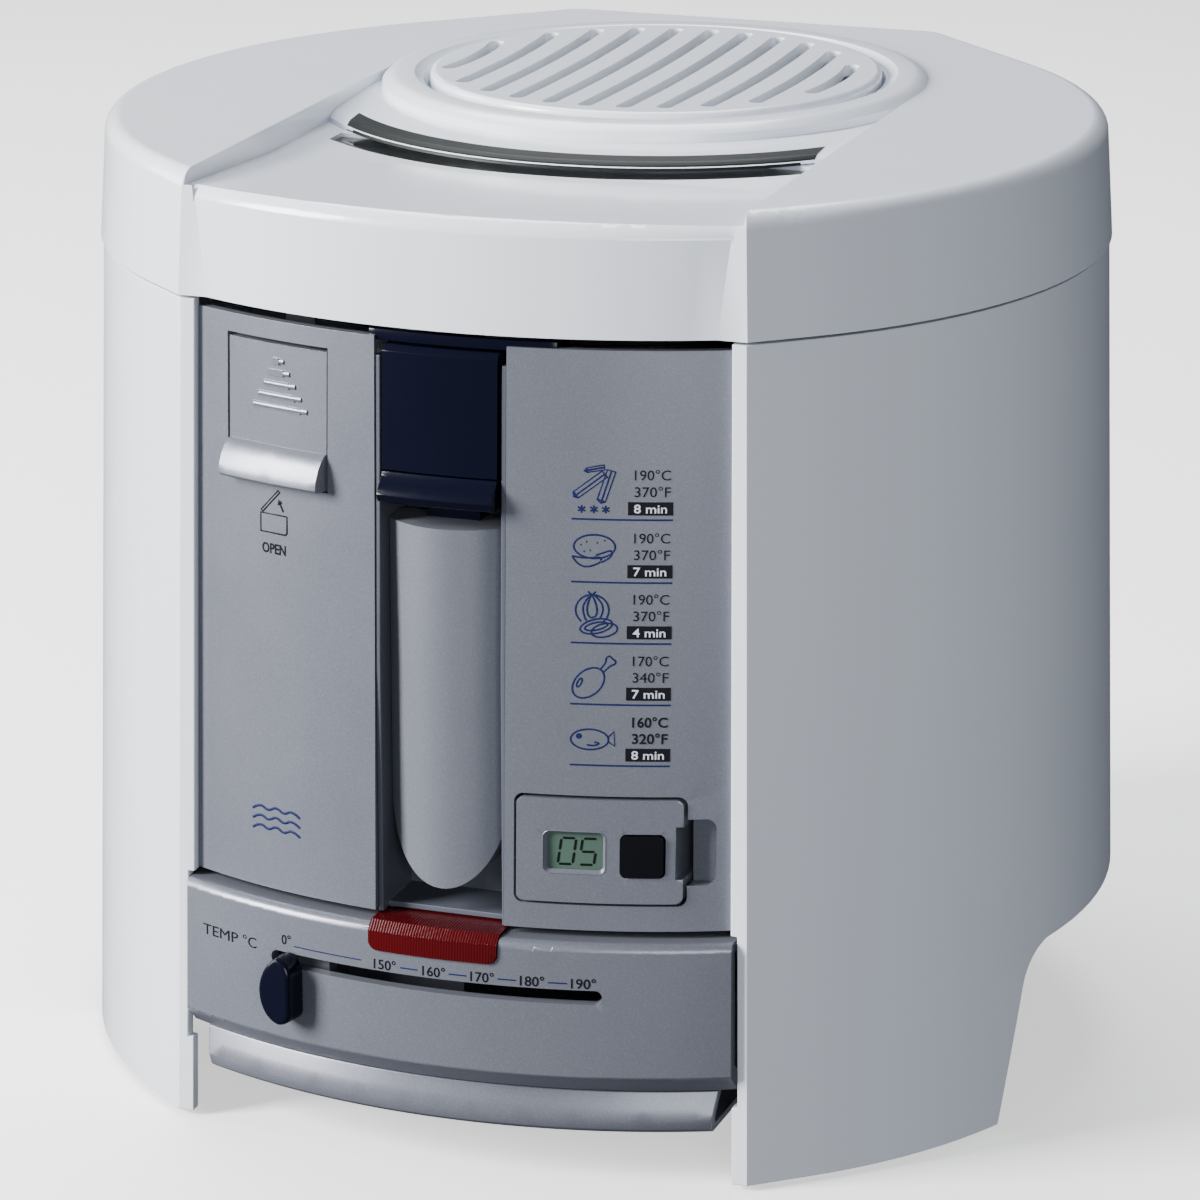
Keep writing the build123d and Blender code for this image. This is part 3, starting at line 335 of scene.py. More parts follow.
lampGlass = plastic("lampGlass", (0.75, 0.35, 0.25), (0.70, 0.30, 0.22), 0.12, 0.05, 300.0, (0.02, 0.0001),
                    **{"Transmission Weight": 0.7})


def buildLens():
    # red translucent plastic with a fine upright texture moulded into it
    material = plastic("redLens", (0.070, 0.0018, 0.003), (0.038, 0.0010, 0.002), 0.18, 0.06, 500.0,
                       (0.05, 0.0001),
                       **{"Specular IOR Level": 0.3, "Coat Weight": 0.1, "Coat Roughness": 0.08})
    tree = material.node_tree
    stripes = tree.nodes.new("ShaderNodeTexWave")
    stripes.bands_direction = "X"
    stripes.inputs["Scale"].default_value = 420.0
    stripes.inputs["Distortion"].default_value = 1.5
    stripes.inputs["Detail"].default_value = 2.0
    place = tree.nodes.new("ShaderNodeTexCoord")
    tree.links.new(place.outputs["Object"], stripes.inputs["Vector"])
    relief = next(node for node in tree.nodes if node.type == "BUMP")
    relief.inputs["Strength"].default_value = 0.5
    relief.inputs["Distance"].default_value = 0.0002
    tree.links.new(stripes.outputs["Fac"], relief.inputs["Height"])
    return material


redLens = buildLens()
# the window is real glass, but its near-black tint is painted shade for the unlit inside of the fryer seen
# through it
shadeTintedGlass = plastic("shadeTintedGlass", (0.012, 0.015, 0.014), (0.020, 0.024, 0.022), 0.06, 0.04, 60.0,
                      (0.01, 0.0001), **{"Transmission Weight": 0.25, "IOR": 1.45})
# near-black satin for the sheet over the window step: painted shade
windowShadePaint = plastic("windowShadePaint", (0.010, 0.012, 0.012), (0.015, 0.018, 0.018), 0.42, 0.1, 900.0,
                      (0.04, 0.0001), **{"Specular IOR Level": 0.15})
print("deep fryer: materials made")

# looks of the CAD nodes
nodeLooks = [
    (whiteShell, ["outer_housing", "lid_shell", "filter_cover", "deck_ring", "hinge_bracket"]),
    (silverPanel, ["left_panel", "right_panel", "control_panel", "lower_trim", "release_button",
                   "timer_case"]),
    (gripPaint, ["handle_grip"]),
    (navyPlastic, ["handle_block", "handle_slider", "temperature_knob"]),
    (channelShadedPlastic, ["handle_channel"]),
    (darkPlastic, ["base_tray", "thermostat", "terminal_block", "slider_carriage", "cord_gland", "idler_gear",
                   "lift_rack", "lid_keeper"]),
    (redLens, ["indicator_lens"]),
    (lampGlass, ["indicator_lamp"]),
    (blackButton, ["timer_button"]),
    (lcdGlass, ["timer_display"]),
    (steel, ["heating_element", "heat_shield", "lid_liner", "hinge_pin", "handle_axle", "idler_axle",
             "button_pin", "button_spring", "base_screws", "thermal_cutout", "timer_battery"]),
    (chrome, ["basket_hanger", "basket_rim", "basket"]),
    (nonstick, ["bowl"]),
    (rubber, ["rubber_feet", "lid_gasket"]),
    (shadedFelt, ["filter_cartridge"]),
    (shadeTintedGlass, ["window_glass"]),
]
for look, names in nodeLooks:
    for name in names:
        nodes[name].data.materials.clear()
        nodes[name].data.materials.append(look)

# widths of the soft edges on the CAD mouldings
softEdge = {"segments": 3, "angle": 32, "weld": 0.00001}
edgeSoftness = {
    "lid_shell": 0.0012, "outer_housing": 0.0009, "left_panel": 0.0007, "right_panel": 0.0007,
    "release_button": 0.0007, "handle_block": 0.0007, "handle_slider": 0.0005, "timer_case": 0.0006,
    "lower_trim": 0.0006, "handle_channel": 0.0003, "filter_cover": 0.0005, "timer_button": 0.0006,
    "indicator_lens": 0.0009, "control_panel": 0.0004,
}
for name, width in edgeSoftness.items():
    node = nodes[name]
    pick(node)
    bpy.ops.mesh.customdata_custom_splitnormals_clear()
    weld = node.modifiers.new("weld", "WELD")
    weld.merge_threshold = softEdge["weld"]
    bevel = node.modifiers.new("softEdge", "BEVEL")
    bevel.width = width
    bevel.segments = softEdge["segments"]
    bevel.limit_method = "ANGLE"
    bevel.angle_limit = math.radians(softEdge["angle"])
    bevel.use_clamp_overlap = True
    even = node.modifiers.new("evenShade", "WEIGHTED_NORMAL")
    even.keep_sharp = False
    for polygon in node.data.polygons:
        polygon.use_smooth = True
print("deep fryer: edges softened")


def inkStrokes(name, strokes, width):
    # strokes are (points, closed, smooth) in millimetres, drawn flat in XY
    clearSelection()
    bpy.ops.curve.primitive_bezier_curve_add(location=(0, 0, 0))
    piece = bpy.context.object
    piece.name = name
    curve = piece.data
    curve.splines.clear()
    curve.dimensions = "3D"
    curve.bevel_depth = width / 2
    curve.bevel_resolution = 1
    curve.resolution_u = 4
    curve.use_fill_caps = True
    for points, closed, rounded in strokes:
        spline = curve.splines.new("NURBS" if rounded else "POLY")
        spline.points.add(len(points) - 1)
        for knot, (x, z) in zip(spline.points, points):
            knot.co = (x / 1000, z / 1000, 0, 1)
        if rounded:
            spline.order_u = 3
            spline.use_endpoint_u = not closed
        spline.use_cyclic_u = closed
    pick(piece)
    bpy.ops.object.convert(target="MESH")
    return bpy.context.object


def inkText(words, height, bold=0.0):
    # letters of a given height, lower left corner at the origin, drawn flat in XY
    clearSelection()
    bpy.ops.object.text_add(location=(0, 0, 0))
    piece = bpy.context.object
    piece.data.body = words
    piece.data.size = 0.01
    piece.data.resolution_u = 3
    piece.data.extrude = 0.00004
    piece.data.offset = bold
    pick(piece)
    bpy.ops.object.convert(target="MESH")
    piece = bpy.context.object
    digitTop = 0.0073                                       # height of a figure in 10 mm type
    for vertex in piece.data.vertices:
        vertex.co.x *= height / digitTop
        vertex.co.y *= height / digitTop
    return piece


def spanOf(piece):
    xs = [vertex.co.x for vertex in piece.data.vertices]
    return min(xs), max(xs)


def layText(words, x, z, height, width, proud, align="LEFT", bold=0.0):
    piece = inkText(words, height, bold)
    low, high = spanOf(piece)
    start = x if align == "LEFT" else x - width if align == "RIGHT" else x - width / 2
    for vertex in piece.data.vertices:
        vertex.co.x = (vertex.co.x - low) / (high - low) * width
    return wrapOnFront(piece, start, z, proud)


def layStrokes(strokes, width, x, z, proud):
    return wrapOnFront(inkStrokes("strokes", strokes, width), x, z, proud, 0.25)


def layPlate(x, z, width, height, proud):
    # a thin printed patch
    clearSelection()
    bpy.ops.mesh.primitive_grid_add(x_subdivisions=8, y_subdivisions=2, size=1, location=(0, 0, 0))
    piece = bpy.context.object
    piece.scale = (width, height, 1)
    settle(piece)
    outline = piece.modifiers.new("thickness", "SOLIDIFY")
    outline.thickness = 0.00004
    outline.offset = 0
    applyAll(piece)
    return wrapOnFront(piece, x, z, proud)


def oval(cx, cz, rx, rz, turn=0.0, start=0.0, sweep=360.0, count=10):
    points = []
    closed = sweep >= 360
    for i in range(count if closed else count + 1):
        a = math.radians(start + sweep * i / count)
        px, pz = rx * math.cos(a), rz * math.sin(a)
        t = math.radians(turn)
        points.append((cx + px * math.cos(t) - pz * math.sin(t), cz + px * math.sin(t) + pz * math.cos(t)))
    return points, closed, True


def friedStick(x0, z0, x1, z1, width):
    length = math.hypot(x1 - x0, z1 - z0)
    ux, uz = (x1 - x0) / length, (z1 - z0) / length
    nx, nz = -uz * width, ux * width
    body = [(x0, z0), (x1, z1), (x1 + nx, z1 + nz), (x0 + nx, z0 + nz)]
    ridge = [(x0 + nx * 0.45 - ux * 0.7, z0 + nz * 0.45 - uz * 0.7), (x1 + nx * 0.5, z1 + nz * 0.5)]
    end = [(x0, z0), (x0 + nx * 0.45 - ux * 0.7, z0 + nz * 0.45 - uz * 0.7), (x0 + nx, z0 + nz)]
    return [(body, True, False), (ridge, False, False), (end, False, False)]


def drawFries():
    strokes = []
    for stick in ((1.6, 5.4, 8.6, 10.9, 2.0), (8.2, 4.6, 10.6, 12.2, 2.1), (3.8, 12.0, 8.0, 12.8, 1.2)):
        strokes += friedStick(*stick)
    starZ = 2.6
    for x in (2.4, 5.4, 8.3):
        for turn in (0, 60, 120):
            a = math.radians(turn + 90)
            ray = [(x - math.cos(a), starZ - math.sin(a)), (x + math.cos(a), starZ + math.sin(a))]
            strokes.append((ray, False, False))
    return strokes


def drawBun():
    strokes = [oval(5.6, 9.2, 5.3, 3.2), ([(0.2, 6.6), (3.5, 6.0), (7.6, 6.8), (7.2, 5.6)], False, True),
               ([(0.2, 6.6), (1.4, 4.4), (4.6, 3.7), (7.2, 5.3)], False, True),
               ([(6.0, 7.0), (8.4, 7.9), (9.9, 8.4), (9.8, 6.4), (7.4, 5.2)], False, True)]
    for x, z in ((2.2, 9.6), (3.6, 10.4), (6.2, 10.2), (8.0, 10.8), (4.4, 8.2), (3.0, 7.9)):
        strokes.append(([(x, z), (x + 0.25, z)], False, False))
    return strokes


def drawOnion():
    strokes = [oval(5.2, 8.6, 4.1, 4.0, 0, -50, 130, 8), oval(5.2, 8.6, 4.1, 4.0, 0, 100, 130, 8),
               ([(5.0, 12.8), (3.0, 10.6), (2.9, 7.6), (3.8, 5.8)], False, True),
               ([(5.0, 12.8), (3.9, 10.0), (4.0, 7.4), (5.0, 6.4), (6.4, 7.2), (6.4, 10.0), (5.0, 12.8)],
                False, True),
               ([(5.4, 12.8), (7.6, 10.8), (8.0, 8.0), (7.0, 6.4)], False, True),
               ([(4.2, 13.4), (4.8, 12.7), (5.4, 12.7), (6.0, 13.4)], False, False)]
    for cx, cz, rx, rz in ((6.2, 4.4, 4.2, 1.9), (6.2, 4.4, 3.0, 1.0), (8.2, 3.4, 3.4, 1.8)):
        strokes.append(oval(cx, cz, rx, rz, 14))
    return strokes


def drawDrumstick():
    return [oval(4.4, 5.6, 4.9, 3.3, 46), oval(2.2, 5.6, 1.3, 0.5, 64),
            ([(7.3, 9.3), (8.8, 11.0), (8.6, 12.2), (9.6, 12.9), (10.2, 12.0), (11.2, 11.4), (10.7, 10.5),
              (9.7, 10.3), (8.2, 8.6)], False, True)]


def drawFish():
    return [oval(4.8, 6.8, 4.9, 2.8), ([(9.3, 7.4), (10.8, 9.0), (11.0, 5.2), (9.3, 6.4)], False, False),
            oval(2.2, 7.6, 0.55, 0.55), oval(2.3, 7.7, 0.2, 0.2),
            ([(4.2, 5.4), (5.6, 5.0), (7.8, 5.9), (6.0, 6.1)], False, True)]


# rows of the frying chart: height in millimetres, two temperatures, time, food
chart = {
    "left": 34.1, "right": 58.4, "numberRight": 0.0578, "textHeight": 0.0027, "textWidth": 0.0085,
    "celsiusLift": 0.0102, "fahrenheitLift": 0.0059, "boldLast": 0.00018,
    "line": 0.00045, "foodLine": 0.00046,
    "rows": [(177.0, "190\u00b0C", "370\u00b0F", "8 min", drawFries),
             (160.8, "190\u00b0C", "370\u00b0F", "7 min", drawBun),
             (145.0, "190\u00b0C", "370\u00b0F", "4 min", drawOnion),
             (129.0, "170\u00b0C", "340\u00b0F", "7 min", drawDrumstick),
             (113.0, "160\u00b0C", "320\u00b0F", "8 min", drawFish)],
}
timeBox = {"x": 0.0531, "lift": 0.0029, "width": 0.0107, "height": 0.0034, "textRight": 0.0570,
           "textLift": 0.0018, "textHeight": 0.0023, "textWidth": 0.0078, "bold": 0.0001}
inkProud = 0.00003
navyPrints, blackPrints, palePrints = [], [], []
for z, celsius, fahrenheit, minutes, drawFood in chart["rows"]:
    base = z / 1000
    left = chart["left"] / 1000
    width = chart["right"] / 1000 - left
    navyPrints.append(layPlate(left + width / 2, base, width, chart["line"], inkProud))
    navyPrints.append(layStrokes(drawFood(), chart["foodLine"], left, base, inkProud))
    bold = chart["boldLast"] if z == chart["rows"][-1][0] else 0.0
    for words, lift in ((celsius, chart["celsiusLift"]), (fahrenheit, chart["fahrenheitLift"])):
        blackPrints.append(layText(words, chart["numberRight"], base + lift, chart["textHeight"],
                                   chart["textWidth"], inkProud, "RIGHT", bold))
    blackPrints.append(layPlate(timeBox["x"], base + timeBox["lift"], timeBox["width"], timeBox["height"],
                                inkProud))
    palePrints.append(layText(minutes, timeBox["textRight"], base + timeBox["textLift"],
                              timeBox["textHeight"], timeBox["textWidth"], inkProud * 3, "RIGHT",
                              timeBox["bold"]))

# box with a rising cover and its word, and plain waves, all on the left panel
openSign = {"x": -0.0475, "boxZ": 0.1672, "wordZ": 0.1592, "line": 0.00055, "height": 0.0027, "width": 0.0074,
            "bold": 0.00025}
waveSign = {"x": -0.0475, "z": 0.0880, "line": 0.0007, "step": 2.5, "swing": 0.9, "rows": (-2.6, 0.0, 2.6)}
openBox = [([(-4.1, -2.6), (-4.1, 2.3), (4.1, 2.3), (4.1, -2.0), (3.6, -2.6)], True, False),
           ([(-4.0, 3.0), (1.4, 8.8), (1.9, 8.3), (-3.4, 2.6)], True, False),
           ([(3.0, 3.4), (1.7, 6.0)], False, False), ([(1.5, 5.0), (1.6, 6.3), (2.6, 5.6)], False, False)]
blackPrints.append(layStrokes(openBox, openSign["line"], openSign["x"], openSign["boxZ"], inkProud))
blackPrints.append(layText("OPEN", openSign["x"], openSign["wordZ"], openSign["height"], openSign["width"],
                           inkProud, "CENTRE", openSign["bold"]))
waves = []
for z in waveSign["rows"]:
    crests = [(waveSign["step"] * (i - 3), z + (waveSign["swing"] if i % 2 else -waveSign["swing"]))
              for i in range(7)]
    waves.append((crests, False, True))
navyPrints.append(layStrokes(waves, waveSign["line"], waveSign["x"], waveSign["z"], inkProud))

# degree scale on the control panel: figure, place, width
scale = {"proud": front["controlProud"] + inkProud, "z": 0.0552, "height": 0.0027, "bold": 0.0001,
         "zeroLift": 0.0016, "dashes": (-0.0062, 0.0071, 0.0201, 0.0331), "dashLift": 0.0012,
         "dash": (0.0048, 0.00035), "longDashX": -0.0297, "longDashLift": 0.0016,
         "longDash": (0.0200, 0.0003), "wordX": -0.0694, "unitX": -0.0560, "wordZ": 0.0536,
         "wordHeight": 0.0030, "wordWidth": 0.0118,
         "unitWidth": 0.0044,
         "figures": [("0\u00b0", -0.0422, 0.0028), ("150\u00b0", -0.0130, 0.0062),
                     ("160\u00b0", 0.0006, 0.0062), ("170\u00b0", 0.0136, 0.0062),
                     ("180\u00b0", 0.0266, 0.0062), ("190\u00b0", 0.0396, 0.0062)]}
for words, x, width in scale["figures"]:
    lift = scale["zeroLift"] if words == "0\u00b0" else 0.0
    blackPrints.append(layText(words, x, scale["z"] + lift, scale["height"], width, scale["proud"], "CENTRE",
                               scale["bold"]))
for x in scale["dashes"]:
    navyPrints.append(layPlate(x, scale["z"] + scale["dashLift"], *scale["dash"], scale["proud"]))
navyPrints.append(layPlate(scale["longDashX"], scale["z"] + scale["longDashLift"], *scale["longDash"],
                           scale["proud"]))
for words, x, width in (("TEMP", scale["wordX"], scale["wordWidth"]),
                        ("\u00b0C", scale["unitX"], scale["unitWidth"])):
    blackPrints.append(layText(words, x, scale["wordZ"], scale["wordHeight"], width, scale["proud"]))

for prints, ink, name, slotName in ((navyPrints, navyInk, "panelPrintNavy", "navy_plastic"),
                                    (blackPrints, blackInk, "panelPrintBlack", "dark_plastic"),
                                    (palePrints, paleInk, "panelPrintPale", "dark_plastic")):
    dress(joined(prints, name), ink, "fryer")
print("deep fryer: prints laid")

# timer display figures, millimetres; level is the height whose radius the display keeps, metres
digits = {"height": 7.0, "width": 3.7, "stroke": 0.62, "slant": 0.14, "baseX": 31.0, "baseZ": 86.3,
          "pitch": 5.3, "gap": 0.22, "thickness": 0.00005, "faceProud": -0.00066, "level": 0.090,
          "shown": ["abcdef", "afgcd"]}


def segmentBar(x0, z0, x1, z1, half):
    # a six-sided bar between two points
    length = math.hypot(x1 - x0, z1 - z0)
    ux, uz = (x1 - x0) / length, (z1 - z0) / length
    gap = digits["gap"]
    points = [(gap, 0), (gap + half, half), (length - gap - half, half), (length - gap, 0),
              (length - gap - half, -half), (gap + half, -half)]
    return [(x0 + a * ux - b * uz, z0 + a * uz + b * ux) for a, b in points]


def drawDigits():
    width, height, half = digits["width"], digits["height"], digits["stroke"] / 2
    ends = {"a": (0, height, width, height), "b": (width, height, width, height / 2),
            "c": (width, height / 2, width, 0), "d": (0, 0, width, 0), "e": (0, 0, 0, height / 2),
            "f": (0, height / 2, 0, height),
            "g": (0, height / 2, width, height / 2)}
    bars = []
    for place, lit in enumerate(digits["shown"]):
        for letter in lit:
            outline = segmentBar(*ends[letter], half)
            shift = digits["baseX"] + place * digits["pitch"]
            clearSelection()
            bpy.ops.mesh.primitive_circle_add(vertices=6, radius=0.001, fill_type="NGON")
            bar = bpy.context.object
            for vertex, (x, z) in zip(bar.data.vertices, outline):
                vertex.co = ((x + z * digits["slant"] + shift) / 1000, (z + digits["baseZ"]) / 1000, 0)
            thick = bar.modifiers.new("thickness", "SOLIDIFY")
            thick.thickness = digits["thickness"]
            thick.offset = 0
            applyAll(bar)
            bars.append(bar)
    piece = joined(bars, "timerFigures")
    return wrapOnFront(piece, 0, 0, digits["faceProud"], 1.0, digits["level"])


dress(drawDigits(), lcdInk, "timer")

# sloping frame of the display
bezel = {"left": 0.0276, "right": 0.0433, "low": 0.0842, "high": 0.0954, "corner": 0.0018, "slope": 0.0009,
         "rise": 0.00012, "wall": 0.0002, "proud": 0.0005}


def flatGrid(name, low, high):
    # flat rectangle in XY
    clearSelection()
    bpy.ops.mesh.primitive_grid_add(x_subdivisions=10, y_subdivisions=2, size=1, location=(0, 0, 0))
    piece = bpy.context.object
    piece.name = name
    piece.scale = (high[0] - low[0], high[1] - low[1], 1)
    piece.location = ((high[0] + low[0]) / 2, (high[1] + low[1]) / 2, 0)
    return settle(piece)


def buildBezel():
    piece = flatGrid("timerBezel", (bezel["left"], bezel["low"]), (bezel["right"], bezel["high"]))
    selectInEdit(piece, "FACE", lambda centre, normal: True)
    bpy.ops.mesh.dissolve_limited(angle_limit=0.01)
    bpy.ops.mesh.select_all(action="SELECT")
    bpy.ops.mesh.bevel(offset=bezel["corner"], segments=6, affect="VERTICES")
    bpy.ops.mesh.select_all(action="SELECT")
    bpy.ops.mesh.inset(thickness=bezel["slope"], depth=-bezel["slope"], use_even_offset=True)
    bpy.ops.mesh.delete(type="FACE")
    leaveEdit()
    for vertex in piece.data.vertices:
        inner = vertex.co.z < -bezel["slope"] / 2
        vertex.co.z = -bezel["slope"] if inner else bezel["rise"]
    cut = piece.modifiers.new("runs", "SUBSURF")
    cut.subdivision_type = "SIMPLE"
    cut.levels = 2
    cut.render_levels = 2
    wall = piece.modifiers.new("wall", "SOLIDIFY")
    wall.thickness = bezel["wall"]
    wall.offset = -1
    applyAll(piece)
    wrapOnFront(piece, 0, 0, bezel["proud"])
    return smooth(piece, 40)


dress(buildBezel(), silverPanel, "timer")

# rounded ribs on the release button, laid on its face, millimetres
ribs = {"x": -45.45, "z": 197.6, "pitch": 3.0, "count": 5, "half": 8.2, "shortest": 1.2, "shorter": 1.75,
        "thickness": 1.7, "lift": 0.9, "steps": 8, "castFrom": -0.3, "sunk": 0.0002, "back": -0.0001}


def layRibs():
    strokes = []
    for i in range(ribs["count"]):
        half = max(ribs["shortest"], ribs["half"] - ribs["shorter"] * i)
        steps = ribs["steps"]
        line = [(-half + 2 * half * step / steps, ribs["pitch"] * i) for step in range(steps + 1)]
        strokes.append((line, False, False))
    piece = inkStrokes("buttonRibs", strokes, ribs["thickness"] / 1000)
    face = nodes["release_button"]
    for vertex in piece.data.vertices:
        x, z = vertex.co.x + ribs["x"] / 1000, vertex.co.y + ribs["z"] / 1000
        # the face is met between two ribs, where it is plain
        level = ribs["z"] + ribs["pitch"] * (round((z * 1000 - ribs["z"]) / ribs["pitch"]) + 0.5)
        met, place = face.ray_cast((x, ribs["castFrom"], level / 1000), (0, 1, 0))[:2]
        surface = place.y if met else frontY(x, z, 0.001)
        vertex.co = (x, surface + ribs["sunk"] - max(vertex.co.z, ribs["back"]) * ribs["lift"], z)
    piece.data.update()
    return smooth(piece, 60)


dress(layRibs(), silverPanel, "release_button")

# dark sheet run up the white step behind the window slot, widening the dark window band: painted shade of the
# unlit inside seen through the window
shadeHood = {"axisY": 0.0415, "inner": 0.0862, "outer": 0.0926, "halfX": 0.0655, "lift": 0.00012,
        "thickness": 0.0001, "castFrom": 0.3, "castReach": 0.0922, "stepTop": 0.2494, "foldAt": 0.0924,
        "fold": 0.0012}


def buildShadeHood():
    clearSelection()
    bpy.ops.mesh.primitive_grid_add(x_subdivisions=72, y_subdivisions=14, size=1, location=(0, 0, 0))
    piece = bpy.context.object
    piece.name = "windowShadeHood"
    shell = nodes["lid_shell"]
    for vertex in piece.data.vertices:
        radius = shadeHood["inner"] + (shadeHood["outer"] - shadeHood["inner"]) * (vertex.co.y + 0.5)
        turn = 2 * vertex.co.x * math.asin(shadeHood["halfX"] / radius)
        x, y = radius * math.sin(turn), shadeHood["axisY"] - radius * math.cos(turn)
        reach = min(radius, shadeHood["castReach"])
        above = (reach * math.sin(turn), shadeHood["axisY"] - reach * math.cos(turn), shadeHood["castFrom"])
        met, place = shell.ray_cast(above, (0, 0, -1))[:2]
        drop = shadeHood["fold"] if radius > shadeHood["foldAt"] else 0.0
        vertex.co = (x, y, (place.z if met else shadeHood["stepTop"]) + shadeHood["lift"] - drop)
    piece.data.update()
    wall = piece.modifiers.new("wall", "SOLIDIFY")
    wall.thickness = shadeHood["thickness"]
    wall.offset = 1
    applyAll(piece)
    return smooth(piece, 40)


dress(buildShadeHood(), windowShadePaint, "lid")

# dark strip behind the tops of the panels: painted shade closing the gap under the lid's front edge
strip = {"from": -0.0195, "to": 0.0300, "foot": 0.2188, "top": 0.2216, "setBack": -0.0008, "depth": 0.0016,
         "edge": 0.0003}


def buildShadeStrip():
    clearSelection()
    bpy.ops.mesh.primitive_grid_add(x_subdivisions=24, y_subdivisions=2, size=1, location=(0, 0, 0))
    piece = bpy.context.object
    piece.name = "topShadeStrip"
    piece.scale = (strip["to"] - strip["from"], strip["top"] - strip["foot"], 1)
    settle(piece)
    wall = piece.modifiers.new("wall", "SOLIDIFY")
    wall.thickness = strip["depth"]
    wall.offset = -1
    edge = piece.modifiers.new("edge", "BEVEL")
    edge.width = strip["edge"]
    edge.segments = 2
    applyAll(piece)
    middle = ((strip["from"] + strip["to"]) / 2, (strip["top"] + strip["foot"]) / 2)
    wrapOnFront(piece, *middle, strip["setBack"])
    return smooth(piece)


# wire basket; the foot of the wall turns in over "turnIn"
wire = {"radius": 0.0792, "axisY": 0.012, "foot": 0.0826, "top": 0.1958, "turnIn": 0.010, "thickness": 0.0011,
        "spokes": 84, "rings": 26, "floorRadius": 0.0745, "floorPitch": 0.0052, "rimThickness": 0.0020,
        "footRimLift": 0.0005, "footRimThickness": 0.0011}


def buildBasketWall():
    foot, turnIn = wire["foot"], wire["turnIn"]
    clearSelection()
    bpy.ops.mesh.primitive_cylinder_add(vertices=wire["spokes"], radius=wire["radius"],
                                        depth=wire["top"] - foot - turnIn, end_fill_type="NOTHING",
                                        location=(0, wire["axisY"], (wire["top"] + foot + turnIn) / 2))
    wall = settle(bpy.context.object)
    selectInEdit(wall, "EDGE", lambda a, b: max(a.z, b.z) < foot + turnIn + 0.001)
    bpy.ops.mesh.extrude_edges_move(TRANSFORM_OT_translate={"value": (0, 0, -turnIn)})
    inward = wire["floorRadius"] / wire["radius"]
    bpy.ops.transform.resize(value=(inward, inward, 1), center_override=(0, wire["axisY"], foot))
    leaveEdit()
    selectInEdit(wall, "EDGE", lambda a, b: abs(a.z - b.z) > 5 * turnIn)      # the long uprights
    bpy.ops.mesh.subdivide(number_cuts=wire["rings"] - 1)
    leaveEdit()
    selectInEdit(wall, "EDGE", lambda a, b: 0.7 * turnIn < abs(a.z - b.z) < 2 * turnIn)
    bpy.ops.mesh.subdivide(number_cuts=2)
    leaveEdit()
    net = wall.modifiers.new("wires", "WIREFRAME")
    net.thickness = wire["thickness"]
    net.use_even_offset = False
    applyAll(wall)
    return wall


def buildBasketFloor():
    wires = []
    count = int(wire["floorRadius"] / wire["floorPitch"])
    for across in (False, True):
        for i in range(-count, count + 1):
            offset = i * wire["floorPitch"]
            half = math.sqrt(wire["floorRadius"] ** 2 - offset ** 2)
            lift = wire["thickness"] * (0.9 if across else 0.0)
            clearSelection()
            bpy.ops.mesh.primitive_cylinder_add(vertices=6, radius=wire["thickness"] / 2, depth=2 * half)
            rod = bpy.context.object
            rod.rotation_euler = (0, math.pi / 2, 0) if across else (math.pi / 2, 0, 0)
            place = (0, wire["axisY"] + offset) if across else (offset, wire["axisY"])
            rod.location = (*place, wire["foot"] + lift)
            wires.append(settle(rod))
    return wires


def buildBasketRim():
    rims = []
    for z, radius, thickness in ((wire["top"], wire["radius"], wire["rimThickness"]),
                                 (wire["foot"] + wire["footRimLift"], wire["floorRadius"],
                                  wire["footRimThickness"])):
        clearSelection()
        bpy.ops.mesh.primitive_torus_add(major_radius=radius, minor_radius=thickness * 0.8,
                                         major_segments=96, minor_segments=10,
                                         location=(0, wire["axisY"], z))
        rims.append(settle(bpy.context.object))
    return rims


basketPiece = joined([buildBasketWall()] + buildBasketFloor() + buildBasketRim(), "wireBasket")
smooth(basketPiece, 50)
dress(basketPiece, chrome, "basket_lift")
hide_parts("basket", "basket_rim")
# the navy strip in the gap under the lid is painted shade
dress(buildShadeStrip(), navyPlastic, "fryer")
print("deep fryer: timer figures, strip and wire basket made")

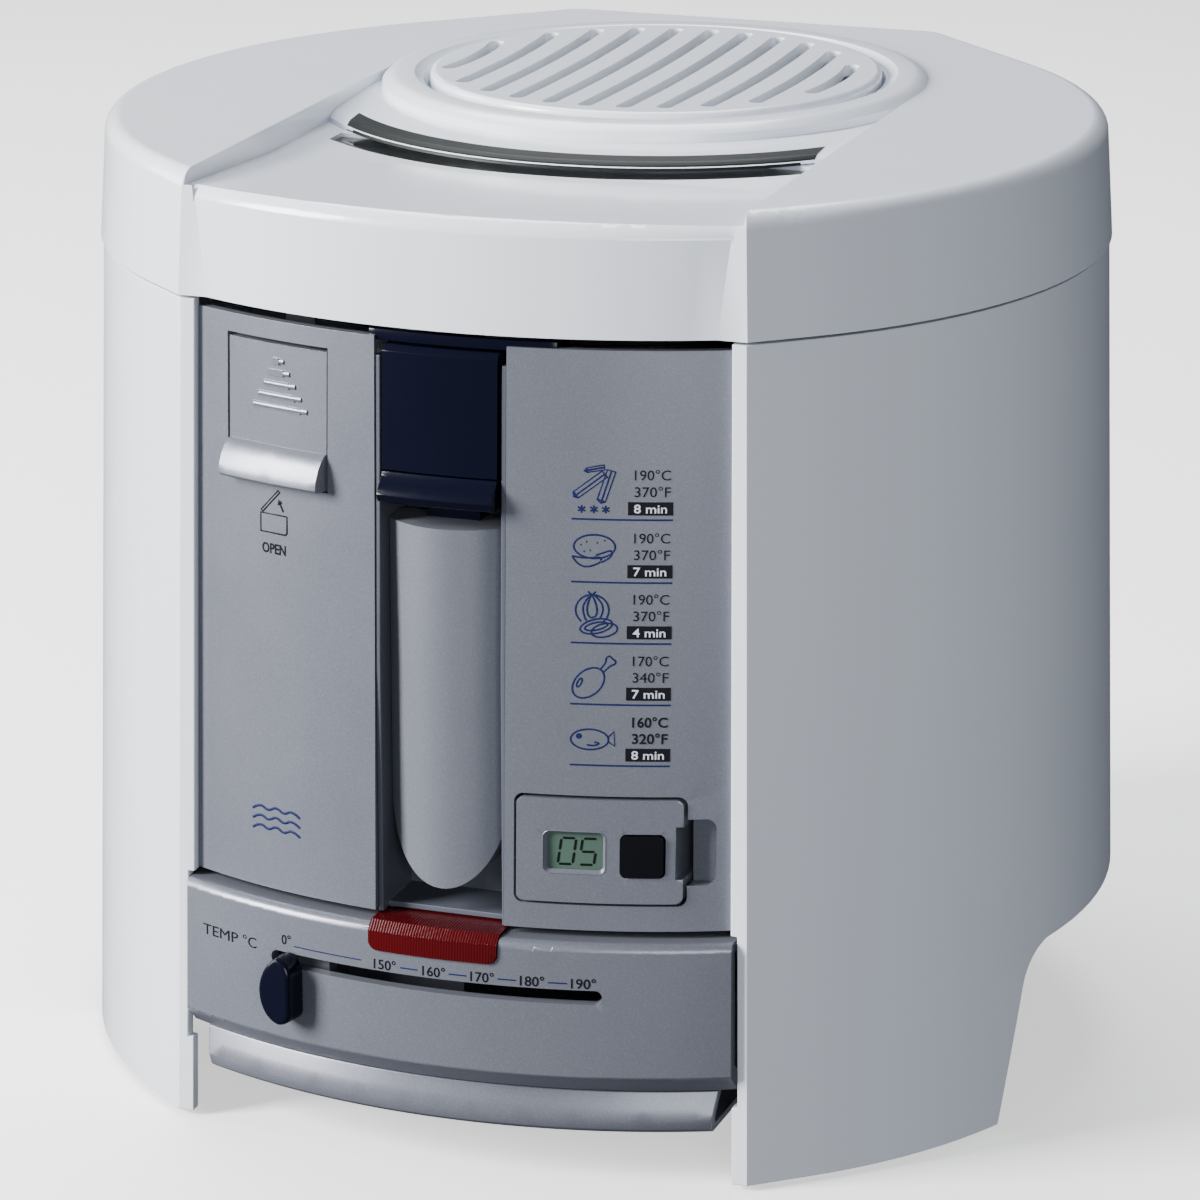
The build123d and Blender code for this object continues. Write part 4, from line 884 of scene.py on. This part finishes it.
# camera, light and floor
studio = {"cameraAt": (0.46105, -1.32717, 0.54497), "tiltDown": 16.96, "turn": 19.23, "lens": 160.08,
          "sensor": 36.0, "nearClip": 0.05, "worldColour": (0.80, 0.86, 0.98), "worldStrength": 0.15,
          "floorSize": 60, "floorZ": -0.0005}
cameraData = bpy.data.cameras.new("studioCamera")
camera = bpy.data.objects.new("studioCamera", cameraData)
bpy.context.scene.collection.objects.link(camera)
camera.location = studio["cameraAt"]
camera.rotation_euler = (math.radians(90 - studio["tiltDown"]), 0, math.radians(studio["turn"]))
cameraData.lens = studio["lens"]
cameraData.sensor_width = studio["sensor"]
cameraData.clip_start = studio["nearClip"]
bpy.context.scene.camera = camera


def softLight(name, at, target, width, height, power, colour=(1, 1, 1)):
    data = bpy.data.lights.new(name, "AREA")
    data.shape = "RECTANGLE"
    data.size = width
    data.size_y = height
    data.energy = power
    data.color = colour
    light = bpy.data.objects.new(name, data)
    bpy.context.scene.collection.objects.link(light)
    light.location = at
    light.rotation_euler = (Vector(target) - Vector(at)).to_track_quat("-Z", "Y").to_euler()
    return light


softLight("keyLight", (-1.75, -1.35, 1.05), (0, 0, 0.14), 0.8, 1.3, 205, (1.0, 0.99, 0.985))
softLight("leftStrip", (-1.7, 0.1, 0.7), (0, 0, 0.13), 0.5, 1.2, 20, (0.97, 0.98, 1.0))
softLight("topLight", (-0.4, 0.7, 1.7), (0, 0, 0.2), 1.2, 1.0, 36, (0.97, 0.98, 1.0))
softLight("rightFill", (1.0, -2.0, 0.5), (0, 0, 0.13), 1.0, 1.0, 24, (0.95, 0.97, 1.0))
world = bpy.data.worlds.new("studioWorld")
bpy.context.scene.world = world
world.use_nodes = True
background = world.node_tree.nodes["Background"]
background.inputs["Color"].default_value = (*studio["worldColour"], 1)
background.inputs["Strength"].default_value = studio["worldStrength"]

clearSelection()
bpy.ops.mesh.primitive_grid_add(x_subdivisions=8, y_subdivisions=8, size=studio["floorSize"],
                                location=(0, 0, studio["floorZ"]))
floor = bpy.context.object
floor.name = "studioFloor"
floor.data.materials.append(plastic("paleFloor", (0.90, 0.905, 0.91), (0.88, 0.885, 0.895), 0.55, 0.05,
                                    300.0, **{"Emission Color": (1, 1, 1, 1), "Emission Strength": 0.9}))
# bounce from the floor would flatten the right side
floor.visible_diffuse = False
floor.visible_glossy = False
settle(floor)
print("deep fryer: studio set")
